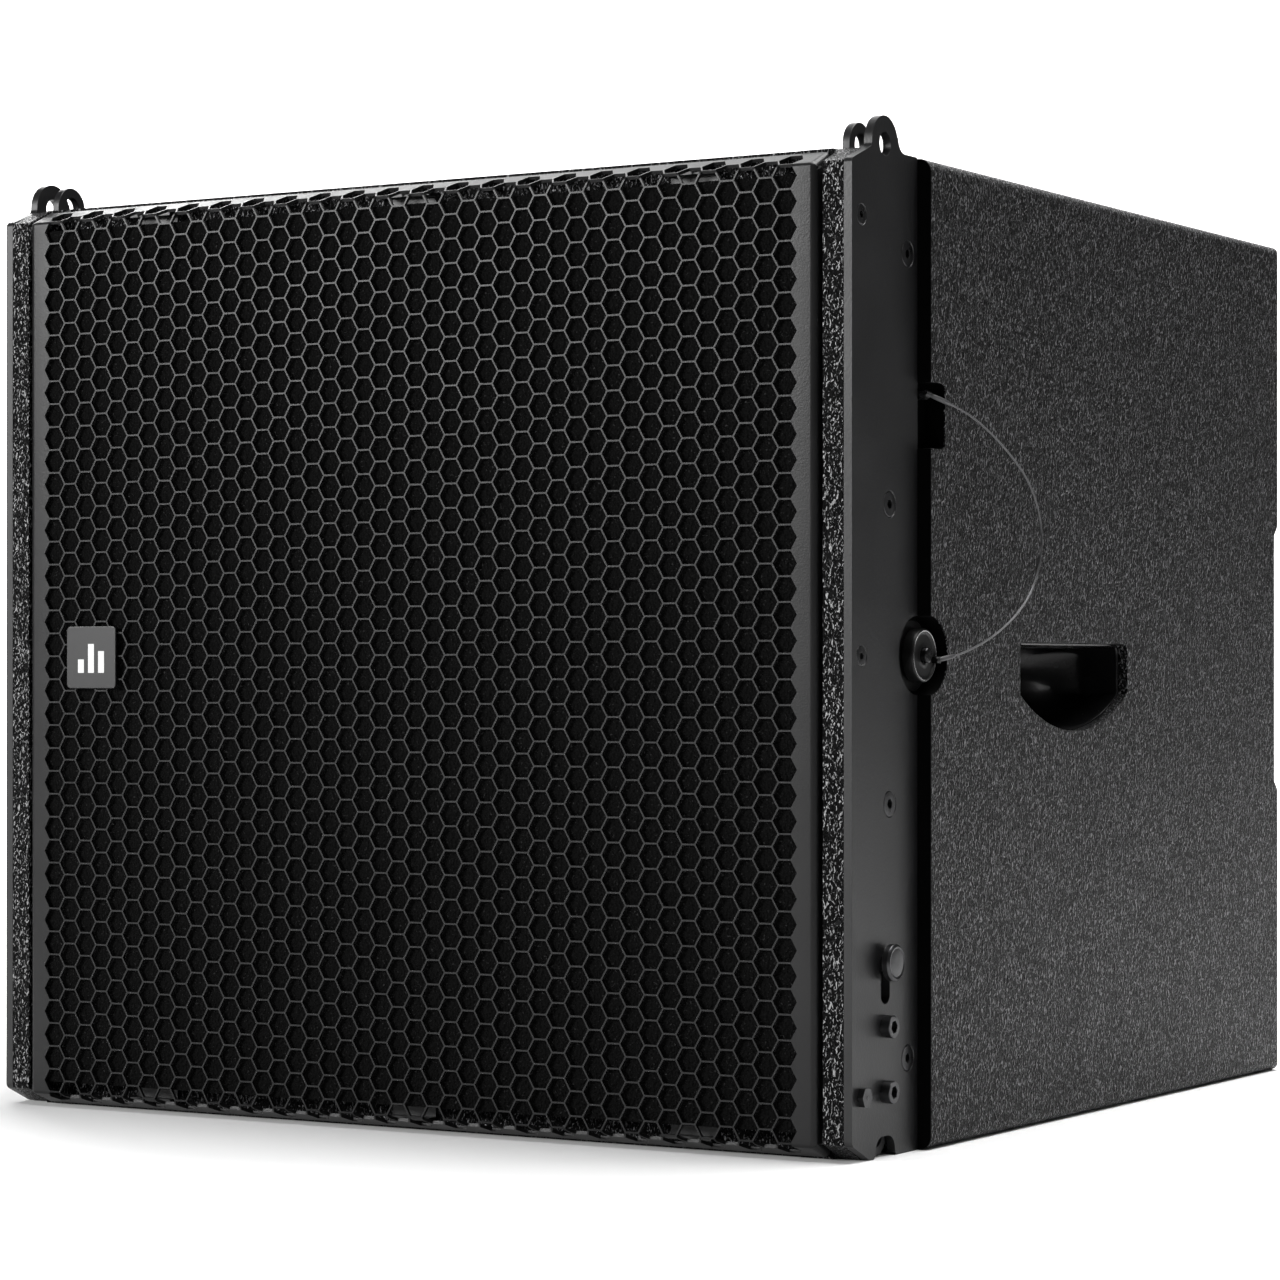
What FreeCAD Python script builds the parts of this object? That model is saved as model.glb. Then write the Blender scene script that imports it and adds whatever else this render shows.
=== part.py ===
"""Flyable bass cabinet of a line array, modelled as separate named pieces.

Frame: X runs across the cabinet, Y from front to back, Z up, all in millimetres.
The origin is at the middle of the base. The cabinet's right-hand hardware is drawn
first, and the left-hand hardware is its mirror image in the plane X = 0.
"""

import FreeCAD, Part
import math
import os
import re
import Sketcher

os.makedirs("parts", exist_ok=True)
doc = FreeCAD.newDocument("BassCabinet")
sheet = doc.addObject("Spreadsheet::Sheet", "Dims")

SIZES = {
    # Cabinet. Places along Y that start with "front" or "rear" are coordinates.
    "body_height": 439, "side_face": 241.5, "side_inner": 220.6, "front_face": -235, "rear_face": 241,
    "panel": 18, "edge_round": 6, "slope_low": 8, "slope_back": 16, "rear_recess": 14, "joint_gap": 0.1,
    # Front post inside each side panel, and the seat of the steel fly plate.
    "post_inner": 203, "post_front": 12, "post_rear": 72, "plate_seat": 231, "step_depth": 62,
    # Channel for the link bar.
    "channel_floor": 219, "channel_front": 17, "channel_rear": 45,
    # Rigging.
    "steel": 4, "rig_depth": 31, "ear_height": 442, "ear_outer": 12.4, "ear_inner": 10.2, "pin_hole": 5.35,
    "plate_top": 439.5, "plate_shoulder": 432.4, "notch_radius": 9.25, "link_half": 9.3, "link_bar": 7.2,
    "link_inner": 223.4, "link_hole": 9.5, "link_top": 100, "link_travel": 14, "knob_height": 85,
    "knob_radius": 8.15, "knob_thick": 4, "slot_radius": 4.25, "stud_radius": 4,
    "guide_low": 28.5, "guide_high": 57, "guide_slot": 3.3,
    # Lock pin parked in its socket.
    "pin_depth": 61.5, "pin_height": 219, "pin_radius": 5, "pin_head": 12.1, "pin_reach": 206,
    "pocket_radius": 17.5, "socket_radius": 7, "button_radius": 3.5, "button_face": 241.2,
    # Side handle and rear grip.
    "handle_front": 154, "handle_back": 275, "handle_top": 225.6, "handle_low": 183.9, "handle_spring": 201.2,
    "cup_wall": 3, "cup_lip": 238.5, "grip_low": 145, "grip_high": 294, "grip_deep": 9.2,
    # Grille and badge.
    "badge_aside": 179, "badge_height": 219, "badge_half": 15, "grille_half": 218.4, "grille_proud": 2,
    "sheet_metal": 1.5, "grille_bend": 2, "side_bend": 3, "grille_return": 13, "grille_low": 0.8,
    "fold_low": 6.3, "fold_high": 431.2, "grille_high": 437.6, "foam_thick": 4,
    "bracket_half": 12, "bracket_aside": 150, "bracket_low": 5, "bracket_high": 432.9,
    # Bass driver, measured along its axis from the front plane.
    "driver_height": 218.5, "frame_radius": 194, "cutout_radius": 177, "baffle_front": 40, "frame_thick": 6,
    "screw_circle": 186.5, "screw_hole": 2.75, "brace_front": 250,
    # Rear hardware.
    "rear_channel": 20, "rear_steel": 3, "arm_hinge": 424, "arm_hole": 324, "arm_half": 4.8, "arm_thick": 20,
    "rear_pin": 270, "plate_x": 68, "plate_z": 40,
}

for row, (name, number) in enumerate(SIZES.items(), 1):
    sheet.set(f"A{row}", name)
    sheet.set(f"B{row}", str(number))
    sheet.setAlias(f"B{row}", name)
doc.recompute()


def bound(formula):
    """The formula with each dimension's name pointed at its cell."""
    def pointed(word):
        return "Dims." + word[0] if word[0] in SIZES else word[0]
    return re.sub(r"[a-z][a-z_]*", pointed, str(formula))


def size(formula):
    """The number that a formula of dimensions comes to."""
    return float(sheet.evalExpression(bound(formula)))


# ---------------------------------------------------------------- sketches and features

def pin_point(sketch, edge, end, corner):
    """Ties one point of a sketch to its two formulas."""
    for axis, formula in zip(("DistanceX", "DistanceY"), corner):
        index = sketch.addConstraint(Sketcher.Constraint(axis, -1, 1, edge, end, size(formula)))
        sketch.setExpression(f"Constraints[{index}]", bound(formula))


def draw_polygon(sketch, corners):
    """A closed outline of straight edges, pinned at every corner."""
    spots = [FreeCAD.Vector(size(x), size(y), 0) for x, y in corners]
    count = len(spots)
    edges = [sketch.addGeometry(Part.LineSegment(spots[i], spots[(i + 1) % count])) for i in range(count)]
    for i in range(count):
        sketch.addConstraint(Sketcher.Constraint("Coincident", edges[i], 2, edges[(i + 1) % count], 1))
        pin_point(sketch, edges[i], 1, corners[i])


def draw_circle(sketch, x, y, radius):
    """A circle tied to its centre's formulas and its radius."""
    centre = FreeCAD.Vector(size(x), size(y), 0)
    edge = sketch.addGeometry(Part.Circle(centre, FreeCAD.Vector(0, 0, 1), size(radius)))
    pin_point(sketch, edge, 3, (x, y))
    index = sketch.addConstraint(Sketcher.Constraint("Radius", edge, size(radius)))
    sketch.setExpression(f"Constraints[{index}]", bound(radius))


def new_sketch(body, plane, start):
    """A sketch on one of the body's own origin planes, moved along X, Y or Z to start."""
    sketch = body.newObject("Sketcher::SketchObject", "Sketch")
    support = [feature for feature in body.Origin.OriginFeatures if feature.Role == plane + "_Plane"][0]
    sketch.AttachmentSupport = [(support, "")]
    sketch.MapMode = "FlatFace"
    sign = "-" if plane == "XZ" else ""
    sketch.setExpression("AttachmentOffset.Base.z", f"{sign}({bound(start)})")
    return sketch


def new_body(label):
    body = doc.addObject("PartDesign::Body", label)
    body.Label = label
    return body


def add(body, plane, start, depth, polygons=(), circles=()):
    """Pads outlines from start by depth, towards +X, +Y or +Z."""
    sketch = new_sketch(body, plane, start)
    for corners in polygons:
        draw_polygon(sketch, corners)
    for circle in circles:
        draw_circle(sketch, *circle)
    pad = body.newObject("PartDesign::Pad", "Pad")
    pad.Profile = sketch
    pad.Reversed = plane == "XZ"
    pad.setExpression("Length", bound(depth))
    doc.recompute()
    return body


def cut(body, plane, start, depth, polygons=(), circles=()):
    """Cuts outlines from start by depth, towards +X, +Y or +Z, and checks that something went."""
    before = body.Shape.Volume
    sketch = new_sketch(body, plane, start)
    for corners in polygons:
        draw_polygon(sketch, corners)
    for circle in circles:
        draw_circle(sketch, *circle)
    pocket = body.newObject("PartDesign::Pocket", "Pocket")
    pocket.Profile = sketch
    pocket.Reversed = plane != "XZ"
    pocket.setExpression("Length", bound(depth))
    doc.recompute()
    if body.Shape.Volume >= before:
        raise ValueError(f"a pocket in {body.Label} cuts nothing")
    return body


def dress(body, kind, amount, test):
    """Rounds ("Fillet") or bevels ("Chamfer") the edges whose middle and direction pass the test."""
    names = []
    for number, edge in enumerate(body.Tip.Shape.Edges, 1):
        middle = edge.valueAt((edge.FirstParameter + edge.LastParameter) / 2)
        if test(middle, edge.tangentAt(edge.FirstParameter)):
            names.append(f"Edge{number}")
    if not names:
        raise ValueError(f"no edge of {body.Label} to dress")
    tip = body.Tip
    feature = body.newObject("PartDesign::" + kind, kind)
    feature.Base = (tip, names)
    feature.setExpression("Radius" if kind == "Fillet" else "Size", bound(amount))
    doc.recompute()
    return body


def near(value, formula):
    return abs(value - size(formula)) < 0.05


def upright_at(y, z):
    """Picks the edges along X that pass through a point of the YZ plane."""
    return lambda middle, way: abs(way.x) > 0.99 and near(middle.y, y) and near(middle.z, z)


def turned(label, *outlines):
    """A piece turned about the driver's axis, from outlines of (radius, place along Y)."""
    body = new_body(label)
    sketch = new_sketch(body, "XY", "0")
    for corners in outlines:
        draw_polygon(sketch, corners)
    turn = body.newObject("PartDesign::Revolution", "Revolution")
    turn.Profile = sketch
    turn.ReferenceAxis = (sketch, ["V_Axis"])
    turn.Angle = 360
    body.setExpression("Placement.Base.z", bound("driver_height"))
    doc.recompute()
    return body


def rectangle(low_x, low_y, high_x, high_y):
    return [(low_x, low_y), (high_x, low_y), (high_x, high_y), (low_x, high_y)]


def back(distance):
    """A place along Y, from its distance behind the front plane."""
    return f"front_face + {distance}"


pieces = []


def keep(item):
    pieces.append(item)
    return item


def mirror(item, label):
    """The left-hand twin of a right-hand piece."""
    twin = doc.addObject("Part::Mirroring", label)
    twin.Label = label
    twin.Source = item
    twin.Normal = FreeCAD.Vector(1, 0, 0)
    doc.recompute()
    return keep(twin)


def keep_pair(item, name):
    item.Label = name + "_right"
    keep(item)
    mirror(item, name + "_left")


def group(label, solids):
    """Like pieces that share one node, as separate solids."""
    feature = doc.addObject("Part::Feature", label)
    feature.Label = label
    feature.Shape = solids[0] if len(solids) == 1 else Part.makeCompound(solids)
    return keep(feature)


def both_sides(solids):
    return solids + [solid.mirror(FreeCAD.Vector(), FreeCAD.Vector(1, 0, 0)) for solid in solids]


def point(x, y, z):
    return FreeCAD.Vector(size(x), size(y), size(z))


AXES = {"X": FreeCAD.Vector(1, 0, 0), "Y": FreeCAD.Vector(0, 1, 0), "Z": FreeCAD.Vector(0, 0, 1)}


def rod(radius, length, base, axis):
    return Part.makeCylinder(radius, length, base, AXES[axis])


def block(low, high):
    span = high - low
    return Part.makeBox(span.x, span.y, span.z, low)


# ---------------------------------------------------------------- fasteners

SCREW_GAP = 0.05


def hexagon(across_flats, base, length):
    """A hexagonal prism along +X."""
    radius = across_flats / math.sqrt(3)
    turns = [k * math.pi / 3 for k in range(7)]
    corners = [base + FreeCAD.Vector(0, radius * math.cos(turn), radius * math.sin(turn)) for turn in turns]
    return Part.Face(Part.makePolygon(corners)).extrude(FreeCAD.Vector(length, 0, 0))


def sunk_screw(face, head, shank, length, key):
    """A screw driven towards -X, its 90 degree countersunk head flush with face."""
    depth = head - shank
    cone = Part.makeCone(shank, head, depth, face - FreeCAD.Vector(depth, 0, 0), AXES["X"])
    body = cone.fuse(rod(shank, length - depth + 0.1, face - FreeCAD.Vector(length, 0, 0), "X"))
    return body.cut(hexagon(key, face - FreeCAD.Vector(2.2, 0, 0), 3)).removeSplitter()


def cap_screw(seat, head, head_height, shank, length, key):
    """A cap screw driven towards -X, the underside of its head on seat."""
    stem = rod(shank, length, seat - FreeCAD.Vector(length, 0, 0), "X")
    body = rod(head, head_height, seat, "X").fuse(stem)
    return body.cut(hexagon(key, seat + FreeCAD.Vector(head_height - 2.5, 0, 0), 3)).removeSplitter()


# Places of the plate's screws, as (distance behind the front plane, height).
LARGE_SCREWS = [("52.5", "396"), ("52.5", "41.5"), ("35.3", "285"), ("35.3", "154")]
SMALL_SCREWS = [("9", "409"), ("9", "218.5")]
EARTH_BOLT = ("9", "28")
GUIDES = [("rig_depth", "guide_low"), ("rig_depth", "guide_high")]
LARGE_SHANK, LARGE_HEAD = 3, 6
SMALL_SHANK, SMALL_HEAD = 2.5, 4.7


# ---------------------------------------------------------------- cabinet

def make_side_panels():
    """Side panel with its front post, routed for the link bar, the pins, the handle and the rear grip."""
    body = new_body("side_panel_right")
    front = "front_face"
    section = [("side_inner", front), ("plate_seat", front), ("plate_seat", back("step_depth")),
               ("side_face", back("step_depth")), ("side_face", "rear_face"), ("side_inner", "rear_face"),
               ("side_inner", back("post_rear")), ("post_inner", back("post_rear")),
               ("post_inner", back("post_front")), ("side_inner", back("post_front"))]
    add(body, "XY", "0", "body_height", [section])
    dress(body, "Fillet", "edge_round", lambda middle, way: near(middle.x, "side_face") and (
        (abs(way.y) > 0.99 and (near(middle.z, "0") or near(middle.z, "body_height")))
        or (abs(way.z) > 0.99 and near(middle.y, "rear_face"))))
    for end, start in (("0", "slope_low"), ("body_height", "plate_shoulder - 0.5")):
        cut(body, "YZ", "side_inner - 1", "side_face - side_inner + 2",
            [[(front, start), (back("slope_back"), end), (front, end)]])
    cut(body, "XY", "0", "body_height",
        [rectangle("channel_floor", back("channel_front"), "plate_seat + 1", back("channel_rear"))])
    cut(body, "YZ", "post_inner - 1", "channel_floor - post_inner + 2",
        [rectangle(back("rig_depth - 12"), "body_height - 4", back("rig_depth + 12"), "body_height + 1")])
    cut(body, "YZ", "plate_seat", "side_face - plate_seat + 1",
        [rectangle(back("61"), "310.6", back("76"), "339.9")])
    cut(body, "YZ", "plate_seat", "side_face - plate_seat + 1",
        circles=[(back("pin_depth"), "pin_height", "pocket_radius")])
    cut(body, "YZ", "pin_reach - 4", "plate_seat - pin_reach + 5",
        circles=[(back("pin_depth"), "pin_height", "socket_radius + joint_gap")])
    make_handle_hole(body)
    cut(body, "YZ", "side_inner - 1", "30",
        [[("rear_face - grip_deep", "grip_low + grip_deep"), ("rear_face + 1", "grip_low - 1"),
          ("rear_face + 1", "grip_high + 1"), ("rear_face - grip_deep", "grip_high - grip_deep")]])
    large = [(back(y), z, f"{LARGE_SHANK + SCREW_GAP}") for y, z in LARGE_SCREWS + GUIDES]
    small = [(back(y), z, f"{SMALL_SHANK + SCREW_GAP}") for y, z in SMALL_SCREWS + [EARTH_BOLT]]
    cut(body, "YZ", "plate_seat - 25", "26", circles=large)
    cut(body, "YZ", "plate_seat - 9", "10", circles=small)
    keep_pair(body, "side_panel")


def handle_outline(inset):
    """The handle's opening: straight on top and at the ends, bowed below."""
    front = size(back("handle_front")) + inset
    rear = size(back("handle_back")) - inset
    top = size("handle_top") - inset
    spring = size("handle_spring")
    low = size("handle_low") + inset
    middle = (front + rear) / 2
    corners = [(front, spring), (front, top), (rear, top), (rear, spring)]
    spots = [FreeCAD.Vector(0, y, z) for y, z in corners]
    bow = Part.Arc(spots[3], FreeCAD.Vector(0, middle, low), spots[0])
    edges = [Part.LineSegment(spots[i], spots[i + 1]).toShape() for i in range(3)]
    return Part.Wire(edges + [bow.toShape()])


def draw_handle(sketch, inset):
    """The same opening as a sketch: three straight edges joined by a bow of the same rise."""
    front, rear = back(f"handle_front + {inset}"), back(f"handle_back - {inset}")
    corners = [(front, "handle_spring"), (front, f"handle_top - {inset}"),
               (rear, f"handle_top - {inset}"), (rear, "handle_spring")]
    spots = [FreeCAD.Vector(size(x), size(y), 0) for x, y in corners]
    low = FreeCAD.Vector((spots[0].x + spots[3].x) / 2, size("handle_low") + inset, 0)
    lines = [sketch.addGeometry(Part.LineSegment(spots[i], spots[i + 1])) for i in range(3)]
    bow = sketch.addGeometry(Part.Arc(spots[3], low, spots[0]))
    for i in range(2):
        sketch.addConstraint(Sketcher.Constraint("Coincident", lines[i], 2, lines[i + 1], 1))
    for edge, corner in zip(lines, corners):
        pin_point(sketch, edge, 1, corner)
    pin_point(sketch, lines[2], 2, corners[3])
    for end in (1, 2):
        at_front = (sketch.getPoint(bow, end) - spots[0]).Length < 0.01
        line, line_end = (lines[0], 1) if at_front else (lines[2], 2)
        sketch.addConstraint(Sketcher.Constraint("Coincident", bow, end, line, line_end))
    half = f"((handle_back - handle_front) / 2 - {inset})"
    rise = f"(handle_spring - handle_low - {inset})"
    radius = f"({half} * {half} + {rise} * {rise}) / (2 * {rise})"
    index = sketch.addConstraint(Sketcher.Constraint("Radius", bow, size(radius)))
    sketch.setExpression(f"Constraints[{index}]", bound(radius))


def make_handle_hole(body):
    sketch = new_sketch(body, "YZ", "side_inner - 1")
    draw_handle(sketch, 0)
    pocket = body.newObject("PartDesign::Pocket", "HandleHole")
    pocket.Profile = sketch
    pocket.Reversed = True
    pocket.setExpression("Length", bound("side_face - side_inner + 2"))
    doc.recompute()


def make_shell_panels():
    """Top, bottom and rear panels, the baffle and the brace."""
    for name, low in (("bottom_panel", "0"), ("top_panel", "body_height - panel")):
        body = new_body(name)
        across = "side_inner - joint_gap"
        post = "post_inner - joint_gap"
        add(body, "XY", low, "panel", [[
            (f"-({post})", back("post_front + 1")), (post, back("post_front + 1")),
            (post, back("post_rear + joint_gap")), (across, back("post_rear + joint_gap")),
            (across, "rear_face - rear_recess"), (f"-({across})", "rear_face - rear_recess"),
            (f"-({across})", back("post_rear + joint_gap")), (f"-({post})", back("post_rear + joint_gap"))]])
        keep(body)

    rear = new_body("rear_panel")
    add(rear, "XZ", "rear_face - rear_recess - panel", "panel",
        [rectangle("-side_inner + joint_gap", "panel + joint_gap", "side_inner - joint_gap",
                   "body_height - panel - joint_gap")])
    cut(rear, "XZ", "rear_face - rear_recess - panel - 1", "panel + 2",
        [rectangle("plate_x + 14", "plate_z + 14", "plate_x + 106", "plate_z + 66")])
    keep(rear)

    baffle = new_body("front_baffle")
    add(baffle, "XZ", back("baffle_front"), "panel",
        [rectangle("-post_inner + joint_gap", "panel + joint_gap", "post_inner - joint_gap",
                   "body_height - panel - joint_gap")])
    mouth = ("0", "driver_height", "cutout_radius")
    cut(baffle, "XZ", back("baffle_front - 1"), "panel + 2", circles=[mouth])
    for side in ("", "-"):
        for height, way in (("panel + 6", ""), ("body_height - panel - 6", "-")):
            cut(baffle, "XZ", back("baffle_front - 1"), "panel + 2", [port_corners(side, height, way, 0)])
    keep(baffle)

    brace = new_body("window_brace")
    add(brace, "XZ", back("brace_front"), "panel",
        [rectangle("-side_inner + joint_gap", "panel + joint_gap", "side_inner - joint_gap",
                   "body_height - panel - joint_gap")])
    windows = [rectangle("40", "60", "150", "200"), rectangle("-150", "60", "-40", "200"),
               rectangle("40", "270", "180", "380"), rectangle("-180", "270", "-40", "380")]
    cut(brace, "XZ", back("brace_front - 1"), "panel + 2", windows)
    dress(brace, "Fillet", "14", lambda middle, way: abs(way.y) > 0.99 and abs(middle.x) < 185)
    for side in ("", "-"):
        reach = rectangle(f"{side}186", "170", f"{side}221", "262")
        cut(brace, "XZ", back("brace_front - 1"), "panel + 2", [reach])
    keep(brace)


PORT_LEG = 84


def port_corners(side, height, way, inset):
    """A corner port's triangle, shrunk by inset on each leg."""
    leg = PORT_LEG - 3.4 * inset
    start = f"post_inner - 6 - {inset}"
    up = "-" if way else "+"
    base = f"({height}) {up} {inset}"
    outer, inner = f"{side}({start})", f"{side}({start} - {leg})"
    return [(outer, base), (inner, base), (outer, f"{base} {up} {leg}")]


def make_ports():
    """Four triangular port ducts in the corners of the baffle, as one node."""
    ducts = []
    for side in (1, -1):
        for height, up in ((size("panel + 6"), 1), (size("body_height - panel - 6"), -1)):
            walls = []
            for inset in (size("joint_gap"), size("joint_gap") + 3):
                x = size("post_inner - 6") - inset
                leg = PORT_LEG - 3.4 * inset
                z = height + up * inset
                y = size(back("baffle_front"))
                corners = [FreeCAD.Vector(side * x, y, z), FreeCAD.Vector(side * (x - leg), y, z),
                           FreeCAD.Vector(side * x, y, z + up * leg)]
                face = Part.Face(Part.makePolygon(corners + corners[:1]))
                walls.append(face.extrude(FreeCAD.Vector(0, 140, 0)))
            ducts.append(walls[0].cut(walls[1]))
    group("port_ducts", ducts)


def make_lining():
    """Damping mats on the floor and roof of the rear chamber."""
    mats = []
    roof = "body_height - panel"
    for low, high in (("panel + 0.5", "panel + 20"), (f"{roof} - 20", f"{roof} - 0.5")):
        mats.append(block(point(-190, back(280), low), point(190, back(430), high)))
    group("damping_lining", mats)


# ---------------------------------------------------------------- grille

def folded(bands, reach):
    """A solid as wide as the grille, from its lower and upper bands, each a pair of (y, z) places."""
    (low_fold, low_lip), (high_fold, high_lip) = bands
    outline = (low_lip, low_fold, high_fold, high_lip, low_lip)
    corners = [FreeCAD.Vector(-reach, y, z) for y, z in outline]
    return Part.Face(Part.makePolygon(corners)).extrude(FreeCAD.Vector(2 * reach, 0, 0))


def make_grille():
    """Folded front sheet: the flat, the sloping bands at top and bottom, and the narrow side returns."""
    front = size("front_face - grille_proud")
    end = front + size("grille_return")
    metal = size("sheet_metal")
    outer, inner = [], []
    for fold, lip in ((size("fold_low"), size("grille_low")), (size("fold_high"), size("grille_high"))):
        slope = (lip - fold) / (end - front)
        drop = math.copysign(metal * math.hypot(1, slope), slope)
        outer.append([(front, fold), (end, lip)])
        inner.append([(front + metal, fold + metal * slope - drop), (end + 1, lip + slope - drop)])
    shell = folded(outer, size("grille_half"))
    bends = [edge for edge in shell.Edges
             if abs(edge.CenterOfMass.y - front) < 0.05 and abs(edge.tangentAt(0).x) > 0.99]
    shell = shell.makeFillet(size("grille_bend"), bends)
    sides = [edge for edge in shell.Edges
             if abs(edge.CenterOfMass.y - front) < 0.05 and abs(edge.tangentAt(0).z) > 0.99]
    shell = shell.makeFillet(size("side_bend"), sides)
    group("front_grille", [shell.cut(folded(inner, size("grille_half") - metal))])

    foam = new_body("grille_foam")
    add(foam, "XZ", back("0.3"), "foam_thick",
        [rectangle("-grille_half + 3", "12", "grille_half - 3", "body_height - 12")])
    keep(foam)

    badge = new_body("badge")
    add(badge, "XZ", "front_face - grille_proud - 1.6", "1.5",
        [rectangle("-badge_aside - badge_half", "badge_height - badge_half",
                   "-badge_aside + badge_half", "badge_height + badge_half")])
    dress(badge, "Fillet", "2.2", lambda middle, way: abs(way.y) > 0.99)
    keep(badge)

    # Angle brackets that hold the grille's bands to the panels.
    angles = []
    for middle in ("-bracket_aside", "0", "bracket_aside"):
        left, right = f"{middle} - bracket_half", f"{middle} + bracket_half"
        for edge, sign in ((size("bracket_high"), -1), (size("bracket_low"), 1)):
            flat_low, flat_high = sorted((edge, edge + sign * 1.5))
            leg_low, leg_high = sorted((edge, edge + sign * 12))
            flat = block(point(left, back(5.5), flat_low), point(right, back(12.9), flat_high))
            leg = block(point(left, back(11.4), leg_low), point(right, back(12.9), leg_high))
            angles.append(flat.fuse(leg).removeSplitter())
    group("grille_brackets", angles)


# ---------------------------------------------------------------- bass driver

def make_driver():
    """The bass driver, pieces in the order in which they stack along its axis."""
    flange_front, flange_rear = "baffle_front - frame_thick", "baffle_front - joint_gap"
    basket = turned("woofer_basket", [
        ("173", back(flange_front)), ("frame_radius", back(flange_front)),
        ("frame_radius", back(flange_rear)), ("176", back(flange_rear)),
        ("172", back("66")), ("122", back("128")), ("122", back("150")),
        ("60", back("150")), ("60", back("146")), ("118", back("146")), ("118", back("126.5")),
        ("168.5", back("64.5"))])
    turns = [22.5 + 45 * k for k in range(8)]
    holes = [(f"screw_circle * cos({turn})", f"screw_circle * sin({turn})", "screw_hole") for turn in turns]
    cut(basket, "XZ", back(f"{flange_front} - 1"), "12", circles=holes)
    spokes = []
    for k in range(6):
        angle = math.pi * (k + 0.5) / 3
        spokes.append([(f"{radius * math.cos(angle + turn):.3f}", f"{radius * math.sin(angle + turn):.3f}")
                       for radius, turn in ((126, -0.36), (162, -0.36), (162, 0.36), (126, 0.36))])
    cut(basket, "XZ", back("68"), "56", spokes)
    keep(basket)
    gasket = turned("woofer_gasket", rectangle("184.5", back(f"{flange_front} - 2.1"), "frame_radius - 0.5",
                                               back(f"{flange_front} - 0.1")))
    cut(gasket, "XZ", back(f"{flange_front} - 3"), "4", circles=holes)
    keep(gasket)
    keep(turned("woofer_surround", [
        ("161", back("39")), ("162", back("32")), ("167", back("26")), ("173", back("26")),
        ("178.5", back("32")), ("184", back("32.4")), ("184", back("33.8")), ("178", back("33.8")),
        ("172", back("27.5")), ("168", back("27.5")), ("163.5", back("32.6")), ("162.2", back("39"))]))
    cone = turned("woofer_cone", [
        ("52.9", back("118")), ("70", back("108")), ("160.5", back("39.5")), ("160.5", back("37")),
        ("69.4", back("106")), ("52.9", back("115.6"))])
    keep(cone)
    keep(turned("dust_cap", [
        ("0", back("90")), ("30", back("92.5")), ("52", back("100")), ("66", back("107.2")),
        ("66", back("105.6")), ("52", back("98.2")), ("30", back("90.7")), ("0", back("88.2"))]))
    keep(turned("voice_coil", rectangle("50.6", back("112"), "52.6", back("166"))))
    keep(turned("spider", [
        ("52.9", back("127")), ("75", back("129.5")), ("96", back("127")), ("117", back("129")),
        ("117", back("130")), ("96", back("128")), ("75", back("130.5")), ("52.9", back("128"))]))
    keep(turned("top_plate", rectangle("54", back("150.1"), "88", back("160"))))
    keep(turned("ring_magnet", rectangle("60", back("160.1"), "102", back("186"))))
    keep(turned("pole_plate", [
        ("0", back("152")), ("48.8", back("152")), ("48.8", back("186.1")), ("92", back("186.1")),
        ("92", back("196")), ("0", back("196"))]))

    screws = []
    for across, up, _ in holes:
        centre = point(across, back(f"{flange_front} - 2.2"), f"driver_height + {up}")
        head = rod(4.6, 3, centre - FreeCAD.Vector(0, 3, 0), "Y")
        screws.append(head.fuse(rod(SMALL_SHANK, 7.6, centre, "Y")).removeSplitter())
    group("woofer_screws", screws)


# ---------------------------------------------------------------- front rigging

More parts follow.
